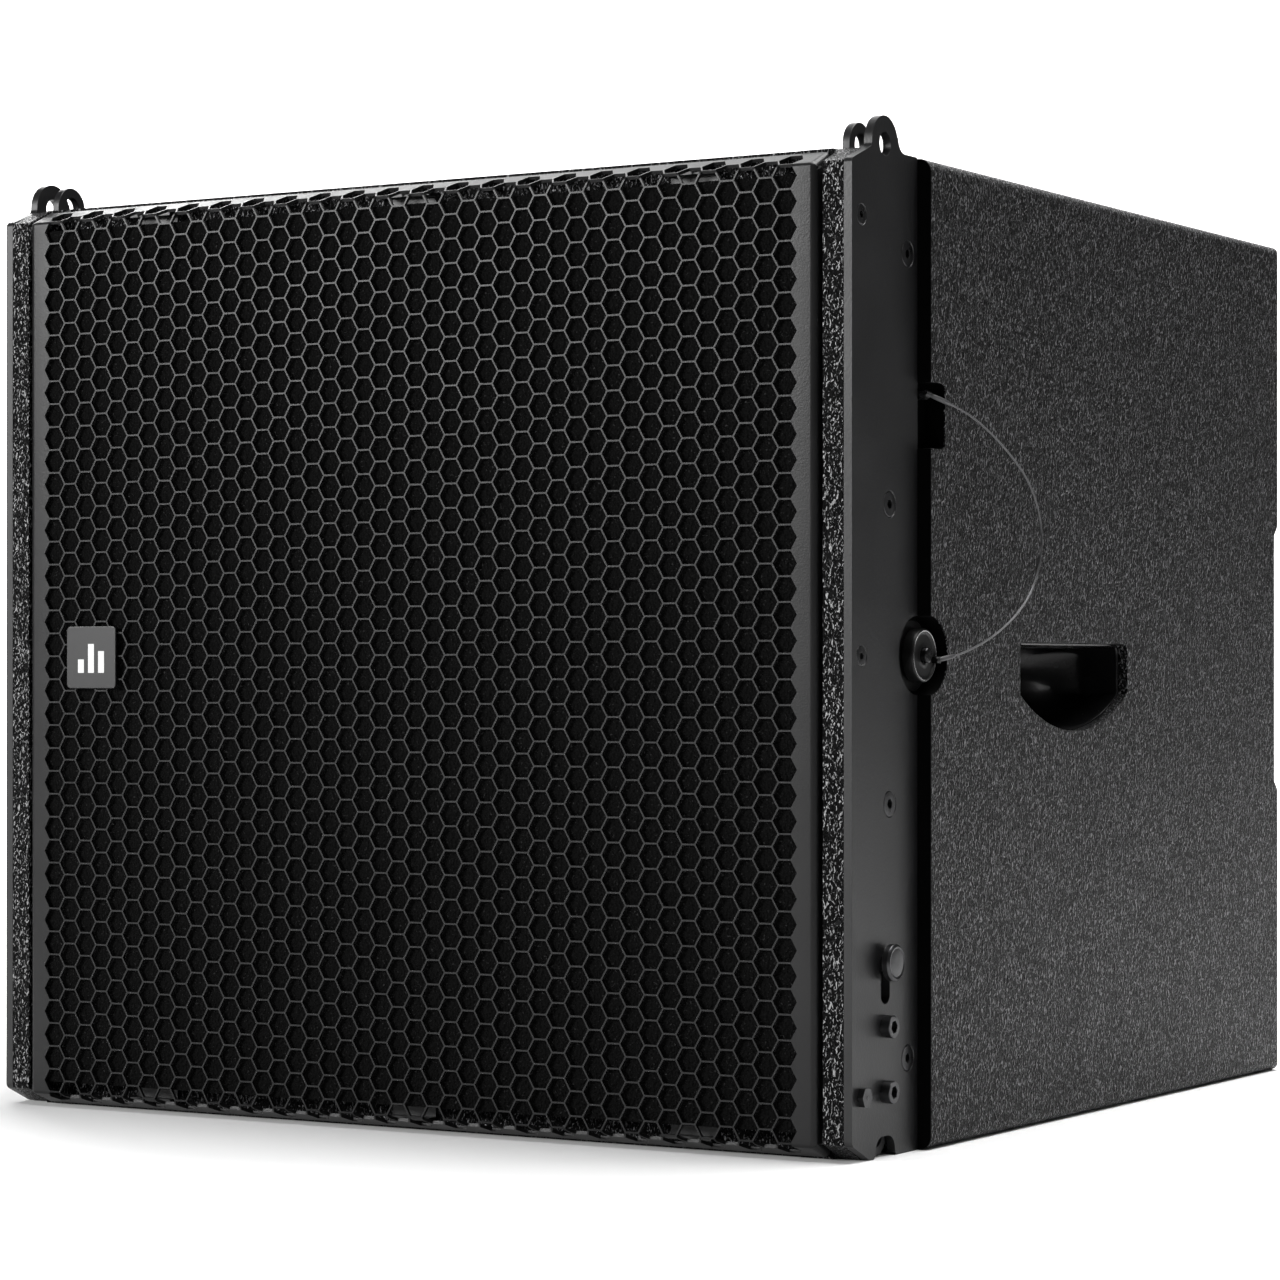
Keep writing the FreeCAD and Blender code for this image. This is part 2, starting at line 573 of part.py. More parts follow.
def make_fly_plates():
    """Outer steel plate with the hinge ear, the link's slot and the pin's cut-away."""
    body = new_body("fly_plate_right")
    ear_front, ear_rear = back("rig_depth - ear_outer"), back("rig_depth + ear_outer")
    ear_top = "ear_height + ear_outer"
    rear = back("step_depth - joint_gap")
    add(body, "YZ", "plate_seat", "steel", [[
        ("front_face", "8"), ("front_face", "plate_shoulder"), (ear_front, "ear_height - 2.2"),
        (ear_front, ear_top), (ear_rear, ear_top), (ear_rear, "plate_top"), (rear, "plate_top"), (rear, "0"),
        (back("17"), "0")]])
    dress(body, "Fillet", "ear_outer - 0.02",
          lambda middle, way: abs(way.x) > 0.99 and near(middle.z, ear_top))
    dress(body, "Fillet", "6.5", upright_at(ear_rear, "plate_top"))
    dress(body, "Fillet", "2.5", upright_at(ear_front, "ear_height - 2.2"))
    dress(body, "Fillet", "3", lambda middle, way: abs(way.x) > 0.99 and (
        near(middle.z, "8") or near(middle.z, "plate_shoulder")
        or (near(middle.z, "0") and middle.y < size(back("20")))))
    through = "steel + 2"
    face = "plate_seat - 1"
    cut(body, "YZ", face, through, circles=[(back("rig_depth"), "0", "notch_radius")])
    dress(body, "Fillet", "2.5", lambda middle, way: abs(way.x) > 0.99 and abs(middle.z) < 0.05
          and abs(middle.y - size(back("rig_depth"))) < size("notch_radius") + 0.1)
    cut(body, "YZ", face, through, circles=[(back("rig_depth"), "ear_height", "pin_hole")])
    cut(body, "YZ", face, through, circles=[(back("pin_depth"), "pin_height", "pocket_radius")])
    low, high = "knob_height - link_travel", "knob_height"
    slot = [rectangle(back("rig_depth - slot_radius"), f"{low} - slot_radius",
                      back("rig_depth + slot_radius"), f"{high} + slot_radius")]
    cut(body, "YZ", face, through, slot)
    dress(body, "Fillet", "slot_radius - 0.02", lambda middle, way: abs(way.x) > 0.99
          and abs(middle.y - size(back("rig_depth"))) < size("slot_radius") + 0.1
          and (near(middle.z, f"{low} - slot_radius") or near(middle.z, f"{high} + slot_radius")))
    cut(body, "YZ", face, through,
        circles=[(back(y), z, f"{LARGE_SHANK + SCREW_GAP}") for y, z in LARGE_SCREWS + GUIDES])
    cut(body, "YZ", face, through,
        circles=[(back(y), z, f"{SMALL_SHANK + SCREW_GAP}") for y, z in SMALL_SCREWS + [EARTH_BOLT]])
    for screws, shank, head in ((LARGE_SCREWS, LARGE_SHANK, LARGE_HEAD),
                                (SMALL_SCREWS, SMALL_SHANK, SMALL_HEAD)):
        places = [(size(back(y)), size(z)) for y, z in screws]
        dress(body, "Chamfer", f"{head - shank + 0.05}",
              lambda middle, way: near(middle.x, "plate_seat + steel")
              and any(math.hypot(middle.y - y, middle.z - z) < shank + 0.2 for y, z in places))
    keep_pair(body, "fly_plate")

    inner = new_body("inner_ear_plate_right")
    ear_front, ear_rear = back("rig_depth - ear_inner"), back("rig_depth + ear_inner")
    ear_top = "ear_height + ear_inner"
    add(inner, "YZ", "channel_floor + joint_gap", "steel - joint_gap", [[
        (back("channel_front + 0.4"), "1"), (back("channel_front + 0.4"), "body_height"),
        (ear_front, "body_height"),
        (ear_front, ear_top), (ear_rear, ear_top), (ear_rear, "body_height"),
        (back("channel_rear - 0.4"), "body_height"), (back("channel_rear - 0.4"), "1")]])
    dress(inner, "Fillet", "ear_inner - 0.02",
          lambda middle, way: abs(way.x) > 0.99 and near(middle.z, ear_top))
    face, through = "channel_floor - 1", "steel + 2"
    cut(inner, "YZ", face, through, circles=[(back("rig_depth"), "0", "notch_radius")])
    cut(inner, "YZ", face, through, circles=[(back("rig_depth"), "ear_height", "pin_hole")])
    cut(inner, "YZ", face, through, circles=[
        (back(y), z, f"{LARGE_SHANK + SCREW_GAP}") for y, z in LARGE_SCREWS[2:] + GUIDES])
    keep_pair(inner, "inner_ear_plate")


def make_links():
    """Sliding link bar with its two guide slots, and the knob that moves it."""
    link = new_body("link_bar_right")
    left, right = back("rig_depth - link_half"), back("rig_depth + link_half")
    add(link, "YZ", "link_inner", "link_bar", [rectangle(left, "link_hole - link_half", right, "link_top")])
    dress(link, "Fillet", "link_half - 0.02",
          lambda middle, way: abs(way.x) > 0.99 and near(middle.z, "link_hole - link_half"))
    face, through = "link_inner - 1", "link_bar + 2"
    cut(link, "YZ", face, through, circles=[(back("rig_depth"), "link_hole", "pin_hole"),
                                            (back("rig_depth"), "knob_height", "3.05")])
    for low in ("guide_low", "guide_high"):
        bottom, top = f"{low} - guide_slot", f"{low} + link_travel + guide_slot"
        cut(link, "YZ", face, through,
            [rectangle(back("rig_depth - guide_slot"), bottom, back("rig_depth + guide_slot"), top)])
    dress(link, "Fillet", "guide_slot - 0.02", lambda middle, way: abs(way.x) > 0.99 and 20 < middle.z < 80)
    dress(link, "Fillet", "3", lambda middle, way: abs(way.x) > 0.99 and near(middle.z, "link_top"))
    keep_pair(link, "link_bar")

    centre = point("link_inner", back("rig_depth"), "knob_height")
    stud = rod(3, size("link_bar"), centre, "X")
    collar = rod(size("stud_radius"), 6.5, centre + FreeCAD.Vector(size("link_bar"), 0, 0), "X")
    seat = point("plate_seat + steel + 2", back("rig_depth"), "knob_height")
    disc = rod(size("knob_radius"), size("knob_thick"), seat, "X")
    rim = [edge for edge in disc.Edges if near(edge.CenterOfMass.x, "plate_seat + steel + 2 + knob_thick")]
    knob = stud.fuse([collar, disc.makeChamfer(1, rim)]).removeSplitter()
    group("link_knob_right", [knob])
    mirror(pieces[-1], "link_knob_left")


def make_rigging_screws():
    """Screws of the fly plates, both sides in each node."""
    large, small, guides = [], [], []
    for y, z in LARGE_SCREWS:
        large.append(sunk_screw(point("plate_seat + steel", back(y), z), LARGE_HEAD, LARGE_SHANK, 24, 4))
    for y, z in SMALL_SCREWS:
        small.append(sunk_screw(point("plate_seat + steel", back(y), z), SMALL_HEAD, SMALL_SHANK, 12, 3))
    for y, z in GUIDES:
        guides.append(cap_screw(point("plate_seat + steel", back(y), z), 5, 4.5, LARGE_SHANK, 28, 5))
    bolt_seat = point("plate_seat + steel", *[back(EARTH_BOLT[0]), EARTH_BOLT[1]])
    bolt = hexagon(8, bolt_seat, 3).fuse(rod(SMALL_SHANK, 12, bolt_seat - FreeCAD.Vector(12, 0, 0), "X"))
    group("plate_screws_large", both_sides(large))
    group("plate_screws_small", both_sides(small))
    group("guide_screws", both_sides(guides))
    group("earth_bolts", both_sides([bolt.removeSplitter()]))


LANYARD_RADIUS = 0.5
SLEEVE_RADIUS = 1.0
STUB_RADIUS = 1.5
# The wire's route on the right-hand side: out of the anchor in its pocket, down in a loop, back to the pin.
LANYARD_ROUTE = [
    (238.6, -168.0, 334.5), (245.8, -151.5, 329.5), (247.4, -126.5, 320.8), (247.6, -101.0, 309.5),
    (247.8, -82.5, 297.5), (247.8, -71.5, 281.5), (247.8, -71.5, 264.5), (247.8, -81.5, 249.0),
    (247.6, -97.5, 238.0), (247.2, -117.0, 229.2), (246.6, -137.0, 223.2), (245.5, -154.5, 219.0),
    (241.8, -166.8, 217.0)]


def corded(route, radius):
    """A tube of straight runs joined by tangent arcs, each as large as its two runs allow."""
    spots = [FreeCAD.Vector(*spot) for spot in route]
    edges, radii, start = [], [], spots[0]
    for before, corner, after in zip(spots, spots[1:], spots[2:]):
        toward, away = (before - corner), (after - corner)
        reach = 0.45 * min(toward.Length, away.Length)
        toward.normalize()
        away.normalize()
        turn = math.pi - toward.getAngle(away)
        bend = reach / math.tan(turn / 2)
        radii.append(bend)
        enter, leave = corner + toward * reach, corner + away * reach
        inward = toward + away
        inward.normalize()
        middle = corner + inward * (bend / math.cos(turn / 2) - bend)
        edges.append(Part.LineSegment(start, enter).toShape())
        edges.append(Part.Arc(enter, middle, leave).toShape())
        start = leave
    edges.append(Part.LineSegment(start, spots[-1]).toShape())
    path = Part.Wire(edges)
    ring = Part.Wire(Part.makeCircle(radius, spots[0], spots[1] - spots[0]))
    tube = path.makePipeShell([ring], True, False)
    expected = math.pi * radius ** 2 * path.Length
    print("lanyard length %.1f, radii %s, volume %.1f of %.1f"
          % (path.Length, [round(bend, 1) for bend in radii], tube.Volume, expected))
    return tube


def stub(start, toward, length):
    """A short boss in line with the wire, ending where the wire starts."""
    way = (FreeCAD.Vector(*toward) - FreeCAD.Vector(*start)).normalize()
    return Part.makeCylinder(STUB_RADIUS, length, FreeCAD.Vector(*start) - way * length, way)


def sleeve(start, toward, length):
    """A crimped sleeve around the wire's first stretch."""
    way = FreeCAD.Vector(*toward) - FreeCAD.Vector(*start)
    base = FreeCAD.Vector(*start)
    outer = Part.makeCylinder(SLEEVE_RADIUS, length, base, way)
    return outer.cut(Part.makeCylinder(LANYARD_RADIUS + 0.05, length, base, way))


def make_lock_pins():
    """Quick-lock pin, parked in a flanged socket beside the fly plate."""
    place = (back("pin_depth"), "pin_height")
    socket = rod(16, 1.5, point("plate_seat + joint_gap", *place), "X")
    inner_end = point("pin_reach - 2.9", *place)
    tube = rod(size("socket_radius"), size("plate_seat - pin_reach") + 3, inner_end, "X")
    bore = rod(size("pin_radius") + 0.06, 60, point("pin_reach - 0.5", *place), "X")
    group("pin_sockets", both_sides([socket.fuse(tube).cut(bore).removeSplitter()]))

    head = rod(size("pin_head"), 6.1, point("plate_seat + 1.9", *place), "X")
    rim = [edge for edge in head.Edges if near(edge.CenterOfMass.x, "plate_seat + 8")]
    shaft = rod(size("pin_radius"), size("plate_seat + 2 - pin_reach"), point("pin_reach", *place), "X")
    well = rod(size("button_radius") + 0.3, 6, point("plate_seat + 3.2", *place), "X")
    lug = block(point("plate_seat + 7.5", back("pin_depth + 4.4"), "pin_height - 3.6"),
                point("plate_seat + 11", back("pin_depth + 6.2"), "pin_height - 0.4"))
    pin = head.makeFillet(1.2, rim).fuse([shaft, lug, stub(LANYARD_ROUTE[-1], LANYARD_ROUTE[-2], 1.5)])
    pin = pin.cut(well).removeSplitter()
    group("lock_pin_right", [pin])
    mirror(pieces[-1], "lock_pin_left")

    button = rod(size("button_radius"), 3.8, point("button_face - 3.8", *place), "X")
    group("pin_button_right", [button.makeFillet(0.8, [edge for edge in button.Edges
                                                       if near(edge.CenterOfMass.x, "button_face")])])
    mirror(pieces[-1], "pin_button_left")


def make_lanyards():
    """Steel wire that ties the pin to the cabinet, with its anchor and sleeves."""
    group("lanyard_right", [corded(LANYARD_ROUTE, LANYARD_RADIUS)])
    mirror(pieces[-1], "lanyard_left")
    start, follow = LANYARD_ROUTE[0], LANYARD_ROUTE[1]
    end, before = LANYARD_ROUTE[-1], LANYARD_ROUTE[-2]
    group("anchor_sleeves", both_sides([sleeve(start, follow, 10)]))
    group("pin_sleeve_right", [sleeve(end, before, 8)])
    mirror(pieces[-1], "pin_sleeve_left")
    # The anchor stands on the pocket's floor and holds the wire's end.
    foot = FreeCAD.Vector(size("plate_seat"), start[1] - 2.3, start[2])
    post = rod(2.2, start[0] - 0.4 - foot.x, foot, "X")
    group("lanyard_anchors", both_sides([post.fuse(stub(start, follow, 3)).removeSplitter()]))


# ---------------------------------------------------------------- handles

def make_handles():
    """Moulded cup behind the side opening, hollow upwards for the fingers, and the rear grip's liner."""
    wall = size("cup_wall")
    gap = size("joint_gap")
    mouth = Part.Face(handle_outline(gap))
    mouth.translate(FreeCAD.Vector(size("side_inner") - 2, 0, 0))
    neck = mouth.extrude(FreeCAD.Vector(size("cup_lip - side_inner") + 2, 0, 0))
    chest = block(point(188, back("handle_front + 3"), 181),
                  point("side_inner - joint_gap", back("handle_back - 3"), 254))
    along_y = [edge for edge in chest.Edges if near(edge.CenterOfMass.x, "188")]
    outer = neck.fuse(chest.makeFillet(9, along_y))
    hollow_mouth = Part.Face(handle_outline(gap + wall))
    hollow_mouth.translate(FreeCAD.Vector(size("side_inner") - 12, 0, 0))
    hollow_neck = hollow_mouth.extrude(FreeCAD.Vector(60, 0, 0))
    room = block(point(191, back("handle_front + 6"), 184),
                 point("side_inner - joint_gap - 3", back("handle_back - 6"), 251))
    room_edges = [edge for edge in room.Edges if near(edge.CenterOfMass.x, "191")]
    cup = outer.cut(hollow_neck.fuse(room.makeFillet(6, room_edges))).removeSplitter()
    group("handle_cup_right", [cup])
    mirror(pieces[-1], "handle_cup_left")

    liner = new_body("rear_grip_liner_right")
    add(liner, "YZ", "222.5", "16.5", [rectangle("rear_face - grip_deep + joint_gap", "grip_low + 11",
                                               "rear_face - 4.7", "grip_high - 11")])
    dress(liner, "Fillet", "3", lambda middle, way: abs(way.x) > 0.99 and near(middle.y, "rear_face - 4.7"))
    keep_pair(liner, "rear_grip_liner")


# ---------------------------------------------------------------- rear hardware

def make_rear_rigging():
    """Upright channel on the rear panel with the folding link arm and its parked pin."""
    floor = "rear_face - rear_recess"
    channel = new_body("rear_fly_channel")
    inner = "rear_channel - rear_steel"
    add(channel, "XY", "20", "body_height - 21", [[
        ("-rear_channel", f"{floor} + joint_gap"), ("rear_channel", f"{floor} + joint_gap"),
        ("rear_channel", "rear_face - 0.5"), (inner, "rear_face - 0.5"), (inner, f"{floor} + rear_steel"),
        (f"-({inner})", f"{floor} + rear_steel"), (f"-({inner})", "rear_face - 0.5"),
        ("-rear_channel", "rear_face - 0.5")]])
    hinge_y = "rear_face - 5.8"
    cut(channel, "YZ", "-rear_channel - 1", "2 * rear_channel + 2",
        circles=[(hinge_y, "arm_hinge", "4.05"), (hinge_y, "rear_pin", "4.05")])
    screw_heights = (60, 200, 300)
    holes = [("0", f"{z}", "3.05") for z in screw_heights]
    cut(channel, "XZ", f"{floor} - 1", "rear_steel + 2", circles=holes)
    keep(channel)

    arm = new_body("rear_link_arm")
    add(arm, "YZ", "-arm_thick / 2", "arm_thick",
        [rectangle(f"{hinge_y} - arm_half", "arm_hole - arm_half - 2",
                   f"{hinge_y} + arm_half", "arm_hinge + arm_half")])
    dress(arm, "Fillet", "arm_half - 0.02",
          lambda middle, way: abs(way.x) > 0.99 and near(middle.z, "arm_hinge + arm_half"))
    cut(arm, "YZ", "-arm_thick", "2 * arm_thick", circles=[(hinge_y, "arm_hinge", "4.05")])
    cut(arm, "XZ", "rear_face - 14", "16", circles=[("0", "arm_hole + 6", "5.05")])
    dress(arm, "Fillet", "2.5",
          lambda middle, way: abs(way.y) > 0.99 and near(middle.z, "arm_hole - arm_half - 2"))
    keep(arm)

    bolt = rod(4, 44, point("-rear_channel - 2", hinge_y, "arm_hinge"), "X")
    head = hexagon(13, point("rear_channel + 0.1", hinge_y, "arm_hinge"), 6)
    nut = hexagon(13, point("-rear_channel - 6.1", hinge_y, "arm_hinge"), 6)
    group("rear_hinge_bolt", [bolt.fuse([head, nut]).removeSplitter()])

    pin = rod(3.97, 46, point("-rear_channel - 3", hinge_y, "rear_pin"), "X")
    knob = rod(5.6, 7, point("-rear_channel - 10", hinge_y, "rear_pin"), "X")
    group("rear_lock_pin", [pin.fuse(knob).removeSplitter()])

    screws = []
    for z in screw_heights:
        base = point(0, f"{floor} + rear_steel + 0.1", z)
        shank = rod(3, 3, base - FreeCAD.Vector(0, 3, 0), "Y")
        screws.append(rod(6, 3, base, "Y").fuse(shank).removeSplitter())
    group("rear_channel_screws", screws)


def make_connectors():
    """Connector plate in the rear panel, its two round sockets, and the filter board behind it."""
    face = "rear_face - rear_recess"
    middle_z = "plate_z + 40"
    spots = [("plate_x + 38", middle_z), ("plate_x + 82", middle_z)]
    plate = new_body("connector_plate")
    add(plate, "XZ", f"{face} + joint_gap", "2.5",
        [rectangle("plate_x", "plate_z", "plate_x + 120", "plate_z + 80")])
    dress(plate, "Fillet", "5", lambda middle, way: abs(way.y) > 0.99)
    corners = [("plate_x + 7", "plate_z + 7"), ("plate_x + 113", "plate_z + 7"),
               ("plate_x + 7", "plate_z + 73"), ("plate_x + 113", "plate_z + 73")]
    cut(plate, "XZ", f"{face} - 1", "6",
        circles=[(x, z, "15.1") for x, z in spots] + [(x, z, "2.05") for x, z in corners])
    keep(plate)

    sockets = []
    for x, z in spots:
        centre = point(x, f"{face} + joint_gap", z)
        shell = rod(15, 30, centre - FreeCAD.Vector(0, 26, 0), "Y")
        flange = rod(18, 1.6, centre + FreeCAD.Vector(0, 2.7, 0), "Y")
        well = centre - FreeCAD.Vector(0, 16, 0)
        ring = rod(13, 21, well, "Y").cut(rod(6, 19, well, "Y"))
        key = block(centre + FreeCAD.Vector(-2, -16, 7), centre + FreeCAD.Vector(2, 2, 14.5))
        sockets.append(shell.fuse(flange).cut(ring).fuse(key).removeSplitter())
    group("speaker_sockets", sockets)

    screws = []
    for x, z in corners:
        base = point(x, f"{face} + 2.7", z)
        shank = rod(2, 2.6, base - FreeCAD.Vector(0, 2.6, 0), "Y")
        screws.append(rod(3.8, 2.4, base, "Y").fuse(shank).removeSplitter())
    group("connector_screws", screws)

    low = point("plate_x + 16", f"{face} - 58", "plate_z + 15.5")
    board = block(low, low + FreeCAD.Vector(88, 1.6, 49))
    coil_foot = low + FreeCAD.Vector(24, -16.1, 24)
    coil = rod(16, 16, coil_foot, "Y").cut(rod(7, 16, coil_foot, "Y"))
    can = rod(9, 22, low + FreeCAD.Vector(64, -22.1, 24), "Y")
    group("filter_board", [board, coil, can])


# ---------------------------------------------------------------- build, test and write

make_side_panels()
make_shell_panels()
make_ports()
make_lining()
make_grille()
make_driver()
make_fly_plates()
make_links()
make_rigging_screws()
make_lock_pins()
make_lanyards()
make_handles()
make_rear_rigging()
make_connectors()
doc.recompute()

for item in doc.Objects:
    if "Invalid" in item.State or "Error" in item.State:
        raise ValueError(f"{item.Label} failed: {item.State}")
for item in pieces:
    if item.Shape.isNull() or not item.Shape.isValid():
        raise ValueError(f"{item.Label} has no sound shape")
    item.Shape.exportStep(os.path.join("parts", item.Label + ".step"))
    print("%-24s %2d solids %12.0f mm3" % (item.Label, len(item.Shape.Solids), item.Shape.Volume))
print(len(pieces), "pieces")
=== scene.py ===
"""Looks of a flyable bass cabinet: every visible piece, its finish, the stage and the camera."""

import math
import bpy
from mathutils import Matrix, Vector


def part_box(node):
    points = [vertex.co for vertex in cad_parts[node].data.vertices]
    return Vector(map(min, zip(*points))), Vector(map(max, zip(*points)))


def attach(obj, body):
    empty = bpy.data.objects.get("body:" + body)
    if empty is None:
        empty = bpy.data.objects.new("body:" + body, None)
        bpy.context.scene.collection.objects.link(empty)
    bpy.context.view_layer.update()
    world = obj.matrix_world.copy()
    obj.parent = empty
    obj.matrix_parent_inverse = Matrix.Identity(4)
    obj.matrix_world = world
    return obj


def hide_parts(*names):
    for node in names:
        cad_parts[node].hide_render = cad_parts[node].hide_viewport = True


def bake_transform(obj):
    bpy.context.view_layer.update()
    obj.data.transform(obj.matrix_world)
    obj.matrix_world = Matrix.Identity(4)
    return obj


bl_info = {
    "name": "Bass Cabinet",
    "version": (1, 0, 0),
    "blender": (4, 5, 0),
    "location": "3D View > Sidebar > Bass Cabinet",
    "description": "Builds a flyable bass cabinet around its packed frame",
    "category": "Add Mesh",
}

import bmesh
import bpy
from bpy.props import FloatProperty, FloatVectorProperty, IntProperty, PointerProperty
from mathutils import Matrix, Vector

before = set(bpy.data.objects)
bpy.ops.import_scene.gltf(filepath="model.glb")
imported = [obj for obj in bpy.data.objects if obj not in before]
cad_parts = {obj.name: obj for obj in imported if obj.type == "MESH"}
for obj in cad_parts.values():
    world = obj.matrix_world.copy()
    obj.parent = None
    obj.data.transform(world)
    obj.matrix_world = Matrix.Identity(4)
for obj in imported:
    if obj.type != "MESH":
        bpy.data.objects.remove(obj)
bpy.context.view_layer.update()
MM = 0.001


# ---------------------------------------------------------------- places, in millimetres, from the frame

def corners(node):
    """Lowest and highest corner of a CAD node, in millimetres."""
    low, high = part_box(node)
    return low / MM, high / MM


SIDE_LOW, SIDE_HIGH = corners("side_panel_right")
PLATE_LOW, PLATE_HIGH = corners("fly_plate_right")
EAR_LOW, EAR_HIGH = corners("inner_ear_plate_right")
LINK_LOW, LINK_HIGH = corners("link_bar_right")
KNOB_LOW, KNOB_HIGH = corners("link_knob_right")
PIN_LOW, PIN_HIGH = corners("lock_pin_right")
BUTTON_LOW, BUTTON_HIGH = corners("pin_button_right")
GRILLE_LOW, GRILLE_HIGH = corners("front_grille")
CUP_LOW, CUP_HIGH = corners("handle_cup_right")
BADGE_LOW, BADGE_HIGH = corners("badge")
FRONT = PLATE_LOW.y
STEP = PLATE_HIGH.y + 0.1
HEIGHT = SIDE_HIGH.z
RIG_Y = (LINK_LOW.y + LINK_HIGH.y) / 2
KNOB_Z = (KNOB_LOW.z + KNOB_HIGH.z) / 2
PIN_Z = (PIN_LOW.z + PIN_HIGH.z) / 2
PIN_Y = (BUTTON_LOW.y + BUTTON_HIGH.y) / 2
EAR_RADIUS = 12.4
EAR_Z = PLATE_HIGH.z - EAR_RADIUS
SIDES = (("right", 1), ("left", -1))
# Radii of the hinge bores and of the pin's pocket, and half the width of the notch at the plates' feet.
HINGE_BORE, POCKET_RADIUS, NOTCH = 5.35, 17.5, 9.25


# ---------------------------------------------------------------- settings

class CabinetFinish(bpy.types.PropertyGroup):
    """Colours of the painted and moulded surfaces."""

    paint: FloatVectorProperty(name="Textured paint", description="Colour of the cabinet's coarse paint",
                               subtype="COLOR", size=3, default=(0.008, 0.008, 0.0083), min=0, max=1)
    steel: FloatVectorProperty(name="Steel paint", description="Colour of the rigging's satin paint",
                               subtype="COLOR", size=3, default=(0.0055, 0.0055, 0.006), min=0, max=1)
    grille: FloatVectorProperty(name="Grille paint", description="Colour of the grille's powder coat",
                                subtype="COLOR", size=3, default=(0.008, 0.008, 0.0083), min=0, max=1)
    foam: FloatVectorProperty(name="Foam", description="Colour of the foam behind the grille",
                              subtype="COLOR", size=3, default=(0.003, 0.003, 0.003), min=0, max=1)
    mark: FloatVectorProperty(name="Badge bars", description="Colour of the badge's level bars",
                              subtype="COLOR", size=3, default=(0.7, 0.7, 0.7), min=0, max=1)


class GrilleSizes(bpy.types.PropertyGroup):
    """Sizes of the perforated front."""

    pitch: FloatProperty(name="Pitch", description="Centre to centre of holes one above the other, in mm",
                         default=11.17, min=4, max=40)
    hole: FloatProperty(name="Hole", description="Width across the flats of a hole, in mm",
                        default=10.4, min=2, max=38)
    columns: IntProperty(name="Columns", description="Columns of holes across the grille", default=43, min=1)
    metal: FloatProperty(name="Sheet", description="Thickness of the sheet, in mm",
                         default=1.5, min=0.5, max=4)
    bend: FloatProperty(name="Bend", description="Outer radius of the top and bottom folds, in mm",
                        default=2.0, min=1, max=10)
    side_bend: FloatProperty(name="Side bend", description="Outer radius of the side bends, in mm",
                             default=3.0, min=1, max=20)


class LanyardSizes(bpy.types.PropertyGroup):
    """Sizes of the steel wires that tie the pins."""

    wire: FloatProperty(name="Wire", description="Diameter of the wire", default=0.001, min=0.0005,
                        unit="LENGTH")
    sleeve: FloatProperty(name="Sleeve", description="Diameter of a sleeve", default=0.0022, min=0.001,
                          unit="LENGTH")


# ---------------------------------------------------------------- node graphs

def sum_of(operation, swapped=False):
    """A method of Value that adds one Math node, with its operands swapped for a reflected form."""
    def method(self, *values):
        operands = (*values, self) if swapped else (self, *values)
        return self.graph.add("ShaderNodeMath", {"operation": operation}, dict(enumerate(operands)))
    return method


class Value:
    """A socket that can be used in sums; each sum adds its Math node."""

    def __init__(self, graph, socket):
        self.graph = graph
        self.socket = socket

    def other(self, name):
        """Another output of the same node."""
        return Value(self.graph, self.socket.node.outputs[name])

    __add__, __radd__ = sum_of("ADD"), sum_of("ADD", swapped=True)
    __sub__, __rsub__ = sum_of("SUBTRACT"), sum_of("SUBTRACT", swapped=True)
    __mul__, __rmul__ = sum_of("MULTIPLY"), sum_of("MULTIPLY", swapped=True)
    __truediv__, __pow__ = sum_of("DIVIDE"), sum_of("POWER")
    __abs__, sine, floor = sum_of("ABSOLUTE"), sum_of("SINE"), sum_of("FLOOR")
    at_least, above, below = sum_of("MAXIMUM"), sum_of("GREATER_THAN"), sum_of("LESS_THAN")
    # The rest after dividing by a value.
    over = sum_of("FLOORED_MODULO")

    def ramp(self, low, high):
        """0 at low, 1 at high, smooth between."""
        return self.graph.add("ShaderNodeMapRange", {"interpolation_type": "SMOOTHSTEP"},
                              {"Value": self, "From Min": low, "From Max": high})


class Graph:
    """A node tree that nodes are added to by one method."""

    def __init__(self, tree):
        self.tree = tree
        self.tree.nodes.clear()

    def add(self, kind, settings=None, inputs=None, output=0):
        """Adds a node: its settings first, then the values or links of its sockets."""
        node = self.tree.nodes.new(kind)
        for name, setting in (settings or {}).items():
            setattr(node, name, setting)
        for name, value in (inputs or {}).items():
            if isinstance(value, Value):
                self.tree.links.new(value.socket, node.inputs[name])
            else:
                node.inputs[name].default_value = value
        return Value(self, node.outputs[output]) if len(node.outputs) else None

    def mix(self, factor, first, second):
        """A colour between two."""
        inputs = {0: factor, 6: colour4(first), 7: colour4(second)}
        return self.add("ShaderNodeMix", {"data_type": "RGBA"}, inputs, output=2)


def colour4(colour):
    """A colour with its alpha, or a linked colour as it is."""
    return colour if isinstance(colour, Value) else (*colour[:3], 1)


def scaled(colour, factor):
    """A colour made lighter or darker."""
    return tuple(min(1.0, part * factor) for part in colour[:3])


MATERIALS = {}


def material(name, build):
    """The material of that name, built once by a function that gives the Principled inputs."""
    if name not in MATERIALS:
        made = bpy.data.materials.new(name)
        made.use_nodes = True
        graph = Graph(made.node_tree)
        inputs = build(graph)
        shader = graph.add("ShaderNodeBsdfPrincipled", None, inputs)
        graph.add("ShaderNodeOutputMaterial", None, {"Surface": shader})
        MATERIALS[name] = made
    return MATERIALS[name]


def place(graph):
    """The object coordinates, in metres."""
    return graph.add("ShaderNodeTexCoord", output="Object")


def split(graph, vector):
    """A vector's parts, read with other()."""
    return graph.add("ShaderNodeSeparateXYZ", None, {0: vector})


def stretched(graph, vector, scale):
    """A vector scaled along each axis."""
    return graph.add("ShaderNodeMapping", None, {"Vector": vector, "Scale": scale})


def noise(graph, where, scale, detail=2.0, distortion=0.0, roughness=0.5):
    """A grey cloud about 0.5."""
    return graph.add("ShaderNodeTexNoise", None, {"Vector": where, "Scale": scale, "Detail": detail,
                                                  "Distortion": distortion, "Roughness": roughness})


